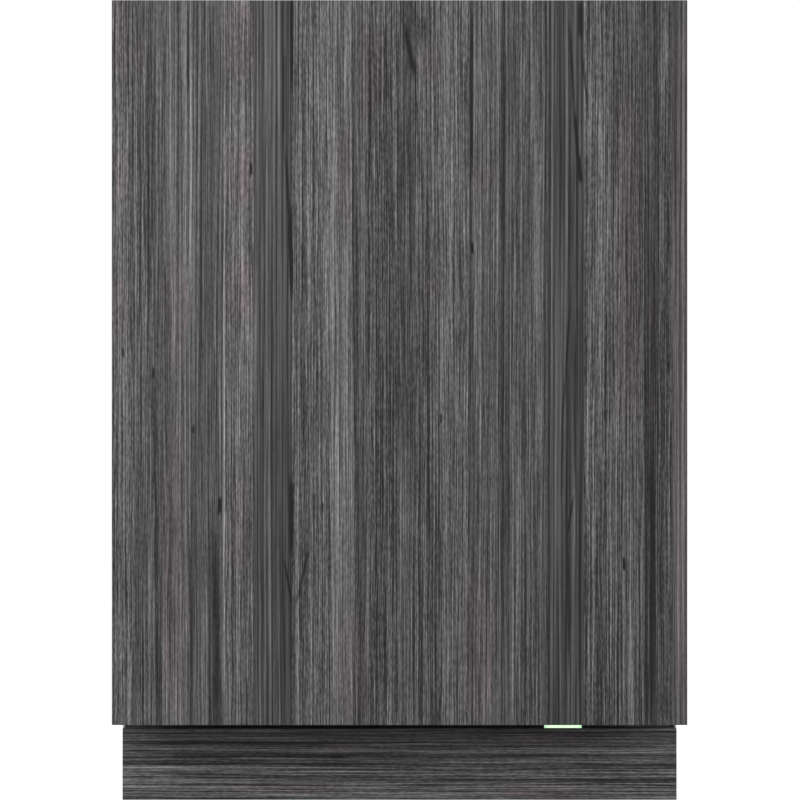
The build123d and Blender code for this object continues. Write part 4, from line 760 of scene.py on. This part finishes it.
# Tub: a wrapper of bright stainless sheet for the sides and ceiling, welded to a rear wall
# and a floor pan with wheel ledges. The sheet has faint rolling lines; long beads stiffen
# its sides and two tall fields its rear wall.
def pressed_sheet(node, name, material, axis, fields, depth, rim):
    """A copy of a CAD sheet with soft-edged fields pressed into it along an axis.

    The axis is 0, 1 or 2, for x, y or z. A field is its middle on each of the other two
    axes and its half size on each. The depth is negative towards the middle of the
    machine, and the rim is how wide the slope is.
    """
    shape = merged_copy(node)
    first, second = (other for other in range(3) if other != axis)
    within = rim - 0.00001
    for face in shape.faces:
        face.smooth = False

    def spans(field):
        """The axis, middle and half size of the field both ways."""
        return (first, field[0], field[2]), (second, field[1], field[3])

    def faces_at(field):
        """The faces of both skins that reach into the field or its slope."""
        return [
            face
            for face in shape.faces
            if abs(face.normal[axis]) > 0.9
            and all(
                max(vert.co[along] for vert in face.verts) > middle - half - within
                and min(vert.co[along] for vert in face.verts) < middle + half + within
                for along, middle, half in spans(field)
            )
        ]

    for field in fields:
        for share in (1.0, 0.75, 0.5, 0.25, 0.0):
            for along, middle, half in spans(field):
                for side in (-1, 1):
                    cut = faces_at(field)
                    edges = {edge for face in cut for edge in face.edges}
                    corners = {vert for face in cut for vert in face.verts}
                    place = Vector((0, 0, 0))
                    place[along] = middle + side * (half + rim * share)
                    facing = Vector((0, 0, 0))
                    facing[along] = 1
                    bmesh.ops.bisect_plane(
                        shape, geom=[*cut, *edges, *corners], dist=0.0000001, plane_co=place, plane_no=facing
                    )
        pan = faces_at(field)
        for face in pan:
            face.smooth = True
        for vert in {vert for face in pan for vert in face.verts}:
            over = [max(abs(vert.co[along] - middle) - half, 0) for along, middle, half in spans(field)]
            slope = min(Vector(over).length / rim, 1)
            vert.co[axis] += copysign(1, vert.co[axis]) * depth * (1 - slope * slope * (3 - 2 * slope))
    place_for(shape, name, material, node)


tub_steel = brushed_steel("tub_stainless", (0.55, 0.54, 0.525, 1), 0.24, (700, 14, 700), 0.05)
floor_steel = brushed_steel("tub_floor_stainless", (0.54, 0.53, 0.515, 1), 0.27, (16, 700, 700), 0.03)
wall_beads = tuple((0.03, height, 0.185, 0.005) for height in (0.415, 0.445, 0.70))
pressed_sheet("tub_wrapper", "tub_wrapper_sheet", tub_steel, 0, wall_beads, depth=-0.0016, rim=0.007)
rear_fields = tuple((middle, 0.47, 0.075, 0.21) for middle in (-0.15, 0.15))
pressed_sheet("tub_rear_wall", "tub_rear_sheet", tub_steel, 1, rear_fields, depth=-0.0016, rim=0.014)
dress("tub_floor", floor_steel)
dress("front_frame", floor_steel)

# Door gasket: a black rubber bulb, extruded and pushed on the frame round the mouth. It
# is of the same rubber as the lower seal.
dress("door_gasket", rubber)

# Cabinet: side sheets, top and back of galvanised steel, screwed to the front frame.
# Tall fields are pressed into the sides and lying ones into the back, so that they don't drum.
sheet_zinc = galvanised("cabinet_sheet_zinc", (0.47, 0.48, 0.49, 1), 165, 0.56)
side_fields = ((-0.085, 0.515, 0.066, 0.245), (0.125, 0.515, 0.066, 0.245), (0.02, 0.165, 0.17, 0.018))
rear_ribs = tuple((0.0, 0.23 + 0.12 * row, 0.215, 0.016) for row in range(5))
top_fields = ((-0.13, 0.05, 0.085, 0.15), (0.13, 0.05, 0.085, 0.15))
for sheet, sheet_name, axis, sheet_fields in (
    ("side_panels", "side_sheet_pair", 0, side_fields),
    ("rear_panel", "back_sheet", 1, rear_ribs),
    ("top_panel", "top_sheet", 2, top_fields),
):
    pressed_sheet(sheet, sheet_name, sheet_zinc, axis, sheet_fields, depth=-0.002, rim=0.010)
dress("cabinet_screws", zinc)

# Felt round the tub's sides, ceiling and back: grey recycled fibre, matted and soft, in
# 4 mm sheets that keep warmth and noise in.
felt_finish, felt_shader, felt_spot = new_finish("recycled_felt", Roughness=0.95, Sheen_Weight=0.4)
tuft = cloud(felt_spot, (260, 260, 260), 5.0, 0.7)
feed(felt_shader, "Base Color", mixed(tuft, (0.05, 0.05, 0.055, 1), (0.26, 0.25, 0.24, 1)))
bumped(felt_shader, tuft, 0.8, 0.0012)
dress("tub_insulation", felt_finish)

# Sump and water parts round the tub: moulded polypropylene, black, grey and white. The flat
# filter is pierced stainless sheet, and the filter cup locks into it by a twist of its grip.
sump_grey = moulded("sump_grey_pp", (0.13, 0.135, 0.14, 1), 0.42)
dress("sump", sump_grey)
filter_steel = brushed_steel("filter_stainless", (0.58, 0.57, 0.55, 1), 0.3, (300, 300, 300))
dress("flat_filter", filter_steel)
filter_plastic = moulded("filter_grey", (0.16, 0.17, 0.18, 1), 0.38)
softened("filter_cylinder", "filter_cup", filter_plastic, 0.0005)
pump_black = moulded("pump_black", (0.03, 0.03, 0.032, 1), 0.45)
dress("circulation_pump", pump_black)
dress("pump_rotor", filter_plastic)
dress("drain_pump", pump_black)
pale_pp = moulded("natural_pp", (0.55, 0.55, 0.52, 1), 0.4)
dress("water_softener", pale_pp)
softened("salt_cap", "salt_neck_cap", moulded("salt_cap_grey", (0.17, 0.18, 0.19, 1), 0.4), 0.0006)
dress("inlet_valve", pale_pp)
dress("water_inlet_chamber", pale_pp)
dress("terminal_box", moulded("terminal_grey", (0.09, 0.09, 0.095, 1), 0.5))

# Spray system: grey polypropylene pipe, two arms and the small ceiling rotor. The arms
# are hollow blades welded from two moulded halves, and turn on the pipe's ends.
spray_grey = moulded("spray_grey_pp", (0.21, 0.22, 0.235, 1), 0.36)
dress("spray_feed_pipe", spray_grey)
softened("lower_spray_arm", "lower_arm", spray_grey, 0.0008)
softened("upper_spray_arm", "upper_arm", spray_grey, 0.0008)
softened("ceiling_spray_rotor", "ceiling_rotor", spray_grey, 0.0008)

# Rails on the tub's sides: rolled stainless channels for the upper rack, with middle slides
# that run in them, and ledges for the cutlery tray.
rail_steel = brushed_steel("rail_stainless", (0.56, 0.56, 0.55, 1), 0.3, (900, 20, 900))
dress("rack_rails", rail_steel)
dress("rail_slides", rail_steel)

# Racks: welded wire baskets dipped in grey nylon, which rounds over their joints. Two rows
# of tines fold down about their bars, and the lower rack runs on moulded wheels.
nylon_coat = moulded("rack_nylon_grey", (0.27, 0.28, 0.29, 1), 0.33, 400, 0.2)
dress("lower_rack", nylon_coat)
dress("upper_rack", nylon_coat)
dress("fold_tines_front", nylon_coat)
dress("fold_tines_back", nylon_coat)
wheel_grey = moulded("wheel_grey", (0.14, 0.145, 0.15, 1), 0.42)
softened("front_wheels", "front_wheel_pair", wheel_grey, 0.0006)
softened("rear_wheels", "rear_wheel_pair", wheel_grey, 0.0006)

# Cutlery tray: a shallow grey polypropylene moulding with an open grid floor and low
# dividers. Its two side flanges lie on the upper ledges.
tray_grey = moulded("tray_grey_pp", (0.24, 0.25, 0.26, 1), 0.38)
softened("cutlery_tray", "cutlery_tray_moulding", tray_grey, 0.0005, segments=1)
